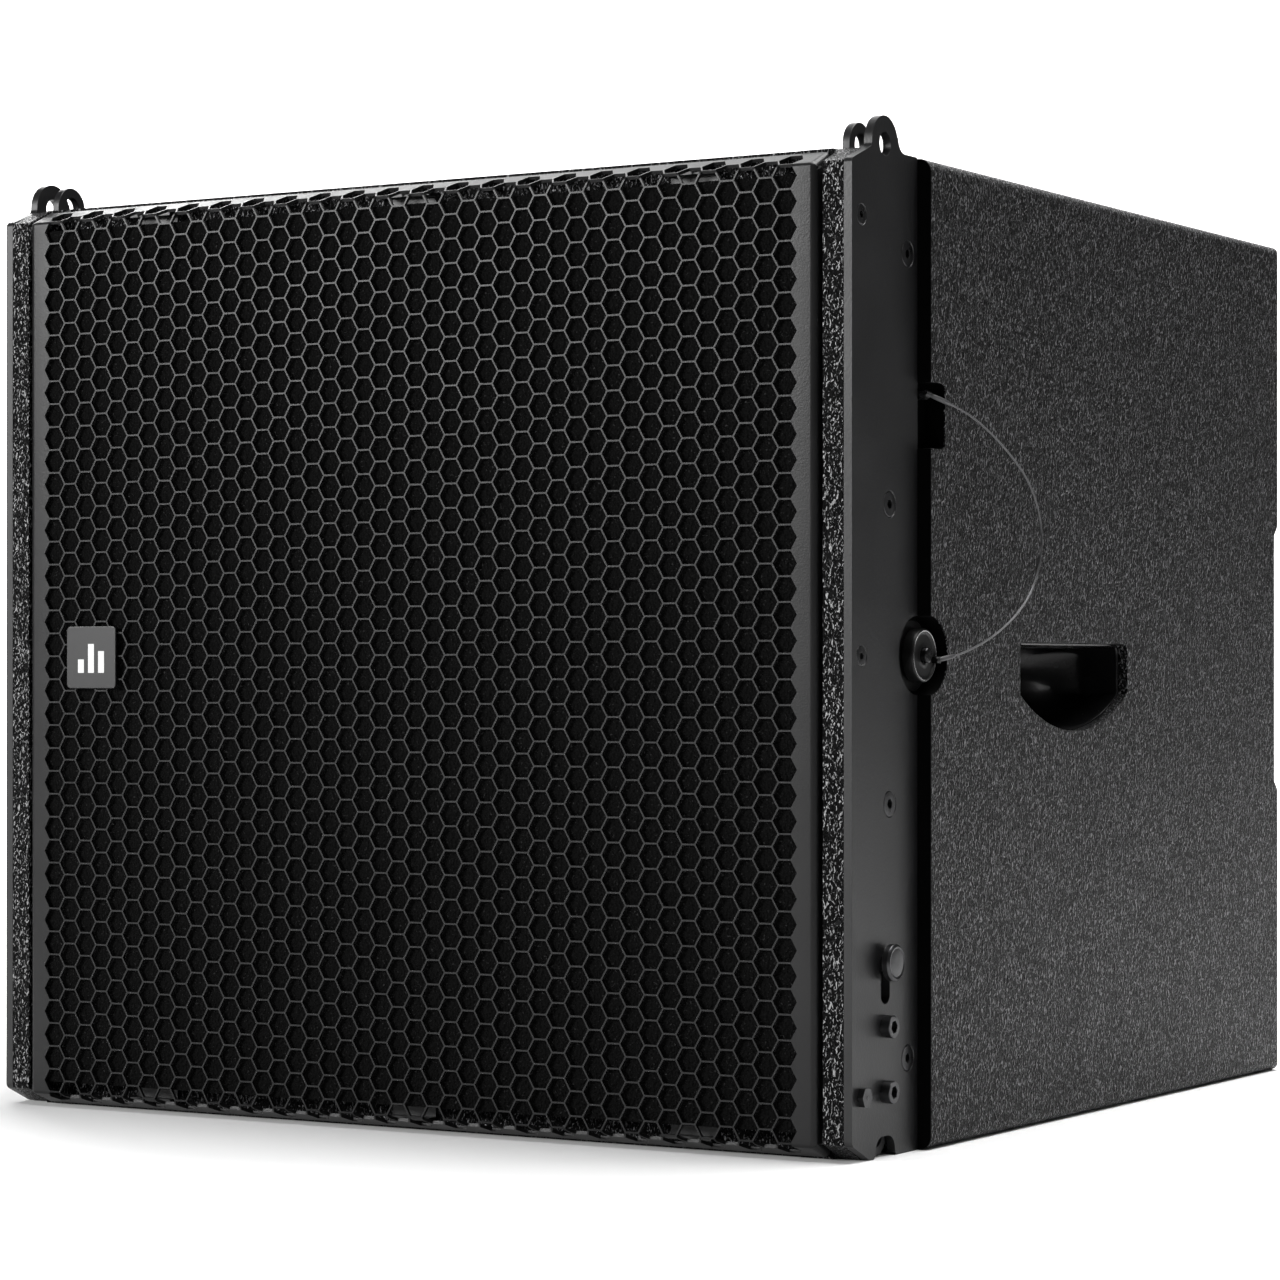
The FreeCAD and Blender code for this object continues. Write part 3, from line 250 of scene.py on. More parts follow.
def bump(graph, height, strength, distance):
    """The normal of a surface raised by height."""
    return graph.add("ShaderNodeBump", None, {"Height": height, "Strength": strength, "Distance": distance})


# ---------------------------------------------------------------- finishes

def finish_settings():
    """The scene's colours."""
    return bpy.context.scene.cabinet_finish


def textured_paint():
    """Sprayed coating with short upright ridges, with painted shade in the valleys, painted highlights on one
    side of the ridges and pale painted glints on the front strip; the step and the pockets are smooth and
    painted near black as shade.
    """
    painted_shade_colour = (0.002, 0.002, 0.002)
    painted_glint = (0.5, 0.5, 0.5)
    clip_end, clip_low, clip_high = STEP + 14.2, 310.4, 340.1
    pocket_radius, skin, step_reach, strip_depth = 17.8, 0.6, 0.7, 1.5

    def build(graph):
        where = place(graph)
        parts = split(graph, where)
        out, y, z = abs(parts.other("X")), parts.other("Y"), parts.other("Z")
        behind_skin = out.below((SIDE_HIGH.x - skin) * MM)
        step = abs(y - STEP * MM).below(step_reach * MM) * out.above(PLATE_LOW.x * MM)
        reach = ((y - PIN_Y * MM) ** 2.0 + (z - PIN_Z * MM) ** 2.0) ** 0.5
        pocket = reach.below(pocket_radius * MM) * behind_skin
        clip = y.below(clip_end * MM) * z.above(clip_low * MM) * z.below(clip_high * MM)
        clip = clip * out.above(0.2305) * behind_skin
        # Painted shade: the step's gap, the pin's pocket and the clip pocket are painted near black and made
        # dull, standing in for the shade in these hollows.
        black = step.at_least(pocket).at_least(clip)
        strip = y.below((FRONT + strip_depth) * MM)

        drawn = stretched(graph, where, (1.0, 1.0, 0.62))
        # The cloud is sampled again a little aside; where it falls away, one side of each ridge is marked for
        # a painted highlight.
        nudged = graph.add("ShaderNodeVectorMath", {"operation": "ADD"},
                           {0: drawn, 1: (0.0004, 0.0004, -0.0001)})
        worms = noise(graph, drawn, 760, 1.0, 1.0, 0.4)
        shadowed = noise(graph, nudged, 760, 1.0, 1.0, 0.4)
        fine = noise(graph, where, 1900, 1.0)
        patches = noise(graph, where, 9, 2.0)
        ridge = worms.ramp(0.4, 0.62)
        painted_crest_highlight = (worms - shadowed).ramp(0.06, 0.2)

        paint = finish_settings().paint
        # Painted shade: the valleys between the ridges are painted far darker than the ridge tops.
        colour = graph.mix(ridge, scaled(paint, 0.2), scaled(paint, 1.1))
        # Painted highlight: the marked side of each ridge is painted up to 24 times as light as the paint.
        lit = graph.mix(painted_crest_highlight * (0.5 + patches * 0.4), colour, scaled(paint, 24.0))
        # Painted glints: on the front strip the marked sides of the ridges are painted pale grey.
        lit = graph.mix(painted_crest_highlight * strip * 0.38, lit, painted_glint)
        height = (ridge * 0.9 + fine * 0.2) * (1 - black)
        return {"Base Color": graph.mix(black, lit, painted_shade_colour),
                "Metallic": (black * 0.9).at_least((1 - painted_crest_highlight) * 0.85),
                "Roughness": (0.5 - painted_crest_highlight * 0.22) * (1 - black) + black * 0.6,
                "Normal": bump(graph, height, 1.0, 0.0012), "Specular IOR Level": 0.3}
    return material("textured_paint", build)


def satin_paint(name, colour, grain=900, roughness=0.4, gloss=0.4):
    """Powder coat: faint orange peel, slightly uneven gloss and a few pale scuffs."""
    def build(graph):
        where = place(graph)
        peel = noise(graph, where, grain, 2.0)
        cloud = noise(graph, where, 22, 3.0)
        scuff = noise(graph, where, 140, 6.0, 1.2).ramp(0.66, 0.8)
        base = graph.mix(scuff * 0.25 + cloud.ramp(0.4, 0.8) * 0.2, colour, scaled(colour, 2.0))
        return {"Base Color": base, "Roughness": roughness + (cloud - 0.5) * 0.14 + scuff * 0.1,
                "Normal": bump(graph, peel, 0.2, 0.0003), "Specular IOR Level": gloss}
    return material(name, build)


def steel_paint():
    """The rigging's satin black."""
    return satin_paint("satin_black_steel", finish_settings().steel)


def grille_paint():
    """The grille's powder coat."""
    return satin_paint("grille_paint", finish_settings().grille, 1200, 0.36, gloss=0.25)


def bare_metal(name, colour, roughness=0.32):
    """Machined or blackened metal with fine turning marks."""
    def build(graph):
        where = place(graph)
        marks = noise(graph, stretched(graph, where, (0.04, 1.0, 1.0)), 2400, 2.0)
        cloud = noise(graph, where, 160, 3.0)
        base = graph.mix(cloud.ramp(0.35, 0.8), scaled(colour, 0.75), scaled(colour, 1.35))
        return {"Base Color": base, "Metallic": 0.9, "Roughness": roughness + (cloud - 0.5) * 0.2,
                "Normal": bump(graph, marks, 0.12, 0.0002)}
    return material(name, build)


def screw_metal():
    """Blackened screws."""
    return bare_metal("black_screws", (0.05, 0.05, 0.052), 0.3)


def moulded(name, colour, roughness=0.3):
    """Moulded plastic or rubber with a faint grain."""
    def build(graph):
        where = place(graph)
        skin = noise(graph, where, 700, 2.0)
        cloud = noise(graph, where, 30, 2.0)
        base = graph.mix(cloud.ramp(0.3, 0.8), scaled(colour, 0.8), scaled(colour, 1.3))
        return {"Base Color": base, "Roughness": roughness + (cloud - 0.5) * 0.12,
                "Normal": bump(graph, skin, 0.08, 0.0003)}
    return material(name, build)


def speaker_foam():
    """Open-cell foam: black cells with a few pale struts that catch the light."""
    def build(graph):
        where = place(graph)
        cells = graph.add("ShaderNodeTexVoronoi", {"feature": "F1"}, {"Vector": where, "Scale": 700.0})
        flecks = noise(graph, where, 900, 2.0).ramp(0.6, 0.74)
        foam = finish_settings().foam
        base = graph.mix(flecks, scaled(foam, 0.5), scaled(foam, 10.0))
        return {"Base Color": base, "Roughness": 0.85 - flecks * 0.25, "Specular IOR Level": 0.08,
                "Normal": bump(graph, cells * 0.8 + flecks * 0.6, 1.0, 0.0012)}
    return material("speaker_foam", build)


def plywood():
    """Raw birch plywood with stretched grain."""
    def build(graph):
        where = place(graph)
        grain = noise(graph, stretched(graph, where, (4.0, 60.0, 60.0)), 6, 5.0, 0.6)
        base = graph.mix(grain.ramp(0.3, 0.75), (0.42, 0.27, 0.14), (0.66, 0.49, 0.3))
        return {"Base Color": base, "Roughness": 0.6 + grain * 0.15,
                "Normal": bump(graph, grain, 0.2, 0.0004)}
    return material("birch_ply", build)


def fibre(name, dark, pale):
    """Felt, pressed pulp or cloth."""
    def build(graph):
        where = place(graph)
        threads = noise(graph, where, 1400, 4.0, 1.5)
        base = graph.mix(threads.ramp(0.3, 0.7), dark, pale)
        return {"Base Color": base, "Roughness": 0.85, "Normal": bump(graph, threads, 0.5, 0.0006)}
    return material(name, build)


def pin_head():
    """Blackened steel with a bright ring on its raised rim that is a painted highlight; the ring is also more
    metallic and glossier.
    """
    dark, worn, painted_highlight_colour = (0.002, 0.002, 0.002), (0.005, 0.005, 0.005), (0.32, 0.32, 0.32)
    rim_radius, rim_half_width, rim_out = 10.9, 0.2, 238.6

    def build(graph):
        where = place(graph)
        parts = split(graph, where)
        reach = ((parts.other("Y") - PIN_Y * MM) ** 2.0 + (parts.other("Z") - PIN_Z * MM) ** 2.0) ** 0.5
        # Painted highlight: a thin bright ring on the raised rim of the pin's head.
        rim = abs(reach - rim_radius * MM).below(rim_half_width * MM)
        rim = rim * abs(parts.other("X")).above(rim_out * MM)
        cloud = noise(graph, where, 400, 2.0)
        base = graph.mix(rim, graph.mix(cloud, dark, worn), painted_highlight_colour)
        return {"Base Color": base, "Metallic": 0.3 + rim * 0.6, "Roughness": 0.32 - rim * 0.1 + cloud * 0.08,
                "Specular IOR Level": 0.3}
    return material("pin_head", build)


def wire_strands():
    """Twisted strands of a wire rope, laid along its own map."""
    def build(graph):
        where = graph.add("ShaderNodeUVMap", {"uv_map": "UVMap"})
        parts = split(graph, where)
        turn = parts.other("X") * 7.0 + parts.other("Y")
        strand = abs((turn * math.pi).sine())
        # Painted shade: the grooves between the strands are painted ten times darker than the strands'
        # crowns.
        base = graph.mix(strand, (0.02, 0.02, 0.02), (0.2, 0.2, 0.205))
        return {"Base Color": base, "Metallic": 0.85, "Roughness": 0.42 - strand * 0.1,
                "Normal": bump(graph, strand, 0.6, 0.0003)}
    return material("wire_rope", build)


def badge_face():
    """Anodised plate with three pale level bars of different heights."""
    def build(graph):
        parts = split(graph, place(graph))
        middle = (BADGE_LOW + BADGE_HIGH) * 0.5 * MM
        x = parts.other("X") - middle.x
        z = parts.other("Z") - middle.z
        cloud = noise(graph, place(graph), 300, 2.0)
        shade = scaled(finish_settings().steel, 0.9)
        base = graph.mix(cloud, shade, scaled(shade, 1.6))
        bars = None
        for offset, top in ((-0.0062, -0.001), (0.0, 0.0065), (0.0062, 0.003)):
            bar = abs(x - offset).below(0.0018) * z.below(top) * z.above(-0.0075)
            bars = bar if bars is None else bars.at_least(bar)
        base = graph.mix(bars, base, finish_settings().mark)
        return {"Base Color": base, "Roughness": 0.35, "Normal": bump(graph, bars, 0.4, 0.0002)}
    return material("badge_plate", build)


# ---------------------------------------------------------------- mesh work, in millimetres

def rounded(outline, steps=7):
    """A polygon from corners (a, b) or (a, b, radius), each corner with a radius turned into an arc."""
    points = []
    count = len(outline)
    for index, corner in enumerate(outline):
        here = Vector(corner[:2])
        radius = corner[2] if len(corner) > 2 else 0
        if not radius:
            points.append(here)
            continue
        before = (Vector(outline[index - 1][:2]) - here).normalized()
        after = (Vector(outline[(index + 1) % count][:2]) - here).normalized()
        half = before.angle(after) / 2
        reach = radius / math.tan(half)
        centre = here + (before + after).normalized() * (radius / math.sin(half))
        start, end = here + before * reach - centre, here + after * reach - centre
        sweep = start.angle_signed(end)
        for step in range(steps + 1):
            turned = Matrix.Rotation(-sweep * step / steps, 2) @ start
            points.append(centre + turned)
    return points


def circle(a, b, radius, steps=48):
    """A ring of points about (a, b)."""
    turns = [2 * math.pi * step / steps for step in range(steps)]
    return [Vector((a + radius * math.cos(turn), b + radius * math.sin(turn))) for turn in turns]


AXIS_POINT = {
    "X": lambda a, b, depth: Vector((depth, a, b)),
    "Y": lambda a, b, depth: Vector((a, depth, b)),
    "Z": lambda a, b, depth: Vector((a, b, depth)),
}


def prism(outline, axis, low, high):
    """A solid with that outline across the axis, from low to high along it."""
    mesh = bmesh.new()
    ends = [[mesh.verts.new(AXIS_POINT[axis](*point, depth)) for point in outline] for depth in (low, high)]
    mesh.faces.new(ends[0])
    mesh.faces.new(ends[1][::-1])
    for index in range(len(outline)):
        following = (index + 1) % len(outline)
        mesh.faces.new((ends[0][following], ends[0][index], ends[1][index], ends[1][following]))
    bmesh.ops.recalc_face_normals(mesh, faces=mesh.faces)
    return mesh


def brick(low, high):
    """A box between two corners."""
    outline = [(low[0], low[1]), (high[0], low[1]), (high[0], high[1]), (low[0], high[1])]
    return prism(outline, "Z", low[2], high[2])


def lathe(profile, origin, axis, steps=40, key=None):
    """Turns (radius, height) pairs about an axis; key=(flats, depth) sinks a hexagonal socket in the end."""
    mesh = bmesh.new()
    forward = Vector(axis).normalized()
    aside = forward.orthogonal().normalized()
    upward = forward.cross(aside)
    rows = [(lambda angle, size=size: size, height) for size, height in profile]
    if key:
        def hexagon(angle, flats=key[0]):
            sixth = (angle + math.pi / 6) % (math.pi / 3) - math.pi / 6
            return flats / 2 / math.cos(sixth)
        top = profile[-1][1]
        rows += [(hexagon, top), (hexagon, top - key[1])]
    rings = []
    for reach, height in rows:
        ring = []
        for step in range(steps):
            angle = 2 * math.pi * step / steps
            spot = aside * math.cos(angle) + upward * math.sin(angle)
            ring.append(mesh.verts.new(Vector(origin) + forward * height + spot * reach(angle)))
        rings.append(ring)
    for first, second in zip(rings, rings[1:]):
        for step in range(steps):
            following = (step + 1) % steps
            mesh.faces.new((first[step], first[following], second[following], second[step]))
    mesh.faces.new(rings[0][::-1])
    mesh.faces.new(rings[-1])
    bmesh.ops.recalc_face_normals(mesh, faces=mesh.faces)
    return mesh


def joined(meshes):
    """Several meshes as one."""
    whole = bmesh.new()
    for part in meshes:
        carrier = bpy.data.meshes.new("part")
        part.to_mesh(carrier)
        part.free()
        whole.from_mesh(carrier)
        bpy.data.meshes.remove(carrier)
    return whole


def mirrored(mesh):
    """The left-hand twin of a right-hand mesh."""
    twin = mesh.copy()
    bmesh.ops.scale(twin, vec=(-1, 1, 1), verts=twin.verts)
    bmesh.ops.reverse_faces(twin, faces=twin.faces)
    return twin


def on_side(mesh, sign):
    """A copy of a right-hand mesh, mirrored where the sign is that of the left-hand side."""
    return mesh.copy() if sign > 0 else mirrored(mesh)


def as_object(mesh, name):
    """An object in the scene that takes the mesh over."""
    data = bpy.data.meshes.new(name)
    mesh.to_mesh(data)
    mesh.free()
    thing = bpy.data.objects.new(name, data)
    bpy.context.scene.collection.objects.link(thing)
    return thing


def settled(thing):
    """The object with its modifiers turned into mesh."""
    graph = bpy.context.evaluated_depsgraph_get()
    graph.update()
    data = bpy.data.meshes.new_from_object(thing.evaluated_get(graph))
    old = thing.data
    thing.modifiers.clear()
    thing.data = data
    if old.users == 0:
        bpy.data.meshes.remove(old)
    return thing


def taken(thing):
    """The object's mesh, for more work; the object is removed."""
    mesh = bmesh.new()
    mesh.from_mesh(thing.data)
    data = thing.data
    bpy.data.objects.remove(thing)
    bpy.data.meshes.remove(data)
    return mesh


def modified(mesh, *changes):
    """The mesh after modifiers, each given as its type and settings."""
    thing = as_object(mesh, "blank")
    for kind, settings in changes:
        change = thing.modifiers.new(kind.lower(), kind)
        for name, setting in settings.items():
            setattr(change, name, setting)
    return taken(settled(thing))


def cut_away(mesh, cutters):
    """The mesh without the room of each cutter."""
    tools = [as_object(cutter, "cutter") for cutter in cutters]
    cuts = [("BOOLEAN", {"operation": "DIFFERENCE", "solver": "EXACT", "object": tool}) for tool in tools]
    result = modified(mesh, *cuts)
    for tool in tools:
        taken(tool).free()
    bmesh.ops.remove_doubles(result, verts=result.verts, dist=0.002)
    return result


def eased(mesh, width, segments=3, angle=35):
    """The mesh with its sharp edges rounded."""
    return modified(mesh, ("BEVEL", {"width": width, "segments": segments, "limit_method": "ANGLE",
                                     "angle_limit": math.radians(angle)}))


def geometry_tree(name, inputs):
    """A geometry tree with named inputs, given with their types: its graph, and the node that holds them."""
    tree = bpy.data.node_groups.new(name, "GeometryNodeTree")
    tree.interface.new_socket("Geometry", in_out="INPUT", socket_type="NodeSocketGeometry")
    for label, kind in inputs.items():
        tree.interface.new_socket(label, in_out="INPUT", socket_type="NodeSocket" + kind)
    tree.interface.new_socket("Geometry", in_out="OUTPUT", socket_type="NodeSocketGeometry")
    graph = Graph(tree)
    return graph, graph.add("NodeGroupInput")


def close_tree(graph, instances, paint, weld=0.0):
    """Ends a tree: the instances become one mesh, points closer than weld are merged, and it is painted."""
    solid = graph.add("GeometryNodeRealizeInstances", None, {0: instances})
    if weld:
        solid = graph.add("GeometryNodeMergeByDistance", None, {"Geometry": solid, "Distance": weld})
    painted = graph.add("GeometryNodeSetMaterial", None, {"Geometry": solid, "Material": paint})
    graph.add("NodeGroupOutput", None, {0: painted})


def grown(mesh, tree, values):
    """What a geometry tree makes of a mesh, with those values for its named inputs."""
    thing = as_object(mesh, tree.name)
    change = thing.modifiers.new("tree", "NODES")
    change.node_group = tree
    for item in tree.interface.items_tree:
        if item.in_out == "INPUT" and item.name in values:
            change[item.identifier] = values[item.name]
    return taken(settled(thing))


def publish(mesh, name, finish, slot, body, *nodes, smooth=28):
    """Puts a finished mesh in the scene, in metres, riding on its body and standing for its CAD nodes."""
    bmesh.ops.scale(mesh, vec=(MM, MM, MM), verts=mesh.verts)
    thing = as_object(mesh, name)
    thing.data.polygons.foreach_set("use_smooth", [True] * len(thing.data.polygons))
    thing.data.set_sharp_from_angle(angle=math.radians(smooth))
    level = thing.modifiers.new("level_faces", "WEIGHTED_NORMAL")
    level.keep_sharp = True
    settled(thing)
    thing.data.materials.clear()
    thing.data.materials.append(finish)
    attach(thing, body)
    if nodes:
        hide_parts(*nodes)
    return thing


def carry(finish, *nodes):
    """Gives the CAD nodes that stay in view their finish."""
    for node in nodes:
        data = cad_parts[node].data
        data.materials.clear()
        data.materials.append(finish)


# ---------------------------------------------------------------- operators

class Maker:
    """What the operators share."""

    bl_options = {"REGISTER", "UNDO"}

    def execute(self, context):
        self.make(context.scene)
        return {"FINISHED"}


class MakeStage(Maker, bpy.types.Operator):
    """Camera, pale floor and sweep, and soft studio light"""

    bl_idname = "bass_cabinet.stage"
    bl_label = "Stage"

    def make(self, scene):
        self.make_camera(scene)
        self.make_sweep()
        self.make_lights(scene)

    def make_camera(self, scene):
        """Level view from the front and right, with the frame raised a little by shift."""
        camera = bpy.data.objects.new("camera", bpy.data.cameras.new("camera"))
        scene.collection.objects.link(camera)
        camera.location = (1.0135, -1.7045, 0.209)
        camera.rotation_euler = (math.radians(90), 0, math.radians(31.05))
        camera.data.lens = 108.8
        camera.data.sensor_width = 36
        camera.data.shift_y = 0.0297
        camera.data.clip_start = 0.05
        scene.camera = camera

    def make_sweep(self):
        """Floor that curves up into a backdrop, square to the camera."""
        front, curve_start, radius, top, half_width = -6.0, 3.0, 1.5, 6.0, 2.6
        turns = [math.pi / 2 * step / 12 for step in range(1, 13)]
        profile = [(front, 0.0), (curve_start, 0.0)]
        profile += [(curve_start + radius * math.sin(turn), radius * (1 - math.cos(turn))) for turn in turns]
        profile += [(curve_start + radius, top)]
        mesh = bmesh.new()
        rows = [[mesh.verts.new((x, y, z)) for y, z in profile] for x in (-half_width, half_width)]
        for index in range(len(profile) - 1):
            mesh.faces.new((rows[0][index], rows[1][index], rows[1][index + 1], rows[0][index + 1]))
        turned = Matrix.Rotation(math.radians(31), 3, "Z")
        bmesh.ops.rotate(mesh, cent=(0, 0, 0), matrix=turned, verts=mesh.verts)
        sweep = as_object(mesh, "sweep")
        for face in sweep.data.polygons:
            face.use_smooth = True

        def build(graph):
            dust = noise(graph, place(graph), 3, 2.0)
            base = graph.mix(dust, (0.86, 0.86, 0.86), (0.9, 0.9, 0.9))
            return {"Base Color": base, "Roughness": 0.9}
        sweep.data.materials.append(material("pale_floor", build))

    def make_lights(self, scene):
        """A dim surround, soft lights overhead and behind, a key from the front left, two on the backdrop."""
        scene.view_settings.view_transform = "Standard"
        world = bpy.data.worlds.new("studio")
        scene.world = world
        world.use_nodes = True
        graph = Graph(world.node_tree)
        glow = graph.add("ShaderNodeBackground", None, {"Color": (1, 1, 1, 1), "Strength": 0.07})
        graph.add("ShaderNodeOutputWorld", None, {"Surface": glow})
        aim = Vector((0, 0, 0.22))
        lamps = (("overhead", (0.5, 0.3, 2.5), aim, 1.8, 110), ("key", (-1.9, -2.9, 1.2), aim, 0.9, 105),
                 ("top_back", (-1.5, 1.7, 2.3), aim, 1.2, 10), ("side", (2.9, 1.2, 1.6), aim, 0.4, 8),
                 ("backdrop_left", (-3.4, 2.4, 2.6), Vector((-2.4, 4.2, 0.4)), 1.6, 140),
                 ("backdrop_right", (-0.4, 3.0, 2.8), Vector((-1.4, 4.4, 0.3)), 1.6, 120))
        for name, spot, target, width, power in lamps:
            light = bpy.data.lights.new(name, "AREA")
            light.shape = "SQUARE"
            light.size = width
            light.energy = power
            lamp = bpy.data.objects.new(name, light)
            scene.collection.objects.link(lamp)
            lamp.location = spot
            lamp.rotation_euler = (target - Vector(spot)).to_track_quat("-Z", "Y").to_euler()


# The wire's route on the right-hand side, in metres: out of the anchor, round in a loop, back to the pin.
LANYARD_ROUTE = [(0.2386, -0.1680, 0.3345), (0.2458, -0.1515, 0.3295), (0.2474, -0.1265, 0.3208),
                 (0.2476, -0.1010, 0.3095), (0.2478, -0.0825, 0.2975), (0.2478, -0.0715, 0.2815),
                 (0.2478, -0.0715, 0.2645), (0.2478, -0.0815, 0.2490), (0.2476, -0.0975, 0.2380),
                 (0.2472, -0.1170, 0.2292), (0.2466, -0.1370, 0.2232), (0.2455, -0.1545, 0.2190),
                 (0.2418, -0.1668, 0.2170)]


class MakeLanyards(Maker, bpy.types.Operator):
    """Steel wires that tie the lock pins to the cabinet, with their sleeves and anchors"""

    bl_idname = "bass_cabinet.lanyards"
    bl_label = "Lanyards"

    def make(self, scene):
        sizes = scene.lanyard_sizes
        for side, sign in SIDES:
            route = [(sign * x, y, z) for x, y, z in LANYARD_ROUTE]
            line = self.line_through(route)
            wire = self.tube(line, sizes.wire / 2, f"lanyard_{side}_wire")
            wire.data.materials.append(wire_strands())
            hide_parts(f"lanyard_{side}")
            top = self.sleeve(self.stretch(line, 0.012), sizes.sleeve / 2, f"anchor_sleeve_{side}")
            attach(top, "root")
            low = self.sleeve(self.stretch(line[::-1], 0.010), sizes.sleeve / 2, f"pin_sleeve_{side}_crimp")
            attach(low, f"lock_pin_{side}")
            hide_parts(f"pin_sleeve_{side}")
            if side == "right":
                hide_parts("anchor_sleeves")
            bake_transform(wire)

    def line_through(self, route):
        """Points along the smooth curve that the route controls."""
        data = bpy.data.curves.new("route", "CURVE")
        data.dimensions = "3D"
        spline = data.splines.new("NURBS")
        spline.points.add(len(route) - 1)
        for point, spot in zip(spline.points, route):
            point.co = (*spot, 1)
        spline.order_u = 3
        spline.use_endpoint_u = True
        spline.resolution_u = 8
        thing = bpy.data.objects.new("route", data)
        bpy.context.scene.collection.objects.link(thing)
        bpy.context.view_layer.update()
        mesh = bpy.data.meshes.new_from_object(thing)
        line = [vertex.co.copy() for vertex in mesh.vertices]
        bpy.data.objects.remove(thing)
        bpy.data.curves.remove(data)
        bpy.data.meshes.remove(mesh)
        return line

    def stretch(self, line, length):
        """The first part of a line, up to that length."""
        part, run = [line[0]], 0.0
        for before, after in zip(line, line[1:]):
            run += (after - before).length
            part.append(after)
            if run >= length:
                break
        return part

    def rings(self, line, radius, steps):
        """Rings of points about a line, without twist."""
        aside = (line[1] - line[0]).orthogonal().normalized()
        rows = []
        for index, spot in enumerate(line):
            way = (line[min(index + 1, len(line) - 1)] - line[max(index - 1, 0)]).normalized()
            aside = (aside - way * aside.dot(way)).normalized()
            upward = way.cross(aside)
            reach = radius[index] if isinstance(radius, list) else radius
            turns = [2 * math.pi * step / steps for step in range(steps)]
            rows.append([spot + (aside * math.cos(turn) + upward * math.sin(turn)) * reach for turn in turns])
        return rows

    def tube(self, line, radius, name, steps=12):
        """A closed tube along a line, mapped by its length and girth."""
        mesh = bmesh.new()
        layer = mesh.loops.layers.uv.new("UVMap")
        rows = [[mesh.verts.new(point) for point in row] for row in self.rings(line, radius, steps)]
        run = [0.0]
        for before, after in zip(line, line[1:]):
            run.append(run[-1] + (after - before).length)
        for index in range(len(rows) - 1):
            for step in range(steps):
                following = (step + 1) % steps
                face = mesh.faces.new((rows[index][step], rows[index][following],
                                       rows[index + 1][following], rows[index + 1][step]))
                spots = ((step, index), (step + 1, index), (step + 1, index + 1), (step, index + 1))
                for loop, (girth, row) in zip(face.loops, spots):
                    loop[layer].uv = (girth / steps, run[row] * 250)
        mesh.faces.new(rows[0])
        mesh.faces.new(rows[-1][::-1])
        bmesh.ops.recalc_face_normals(mesh, faces=mesh.faces)
        thing = as_object(mesh, name)
        for face in thing.data.polygons:
            face.use_smooth = True
        return thing

    def sleeve(self, line, radius, name):
        """A plastic-coated crimp around part of the wire, tapered at both ends."""
        reach = [radius * (0.78 if index in (0, len(line) - 1) else 1.0) for index in range(len(line))]
        thing = self.tube(line, reach, name, 16)
        thing.data.materials.append(moulded("sleeve_plastic", (0.04, 0.04, 0.042), 0.45))
        return thing


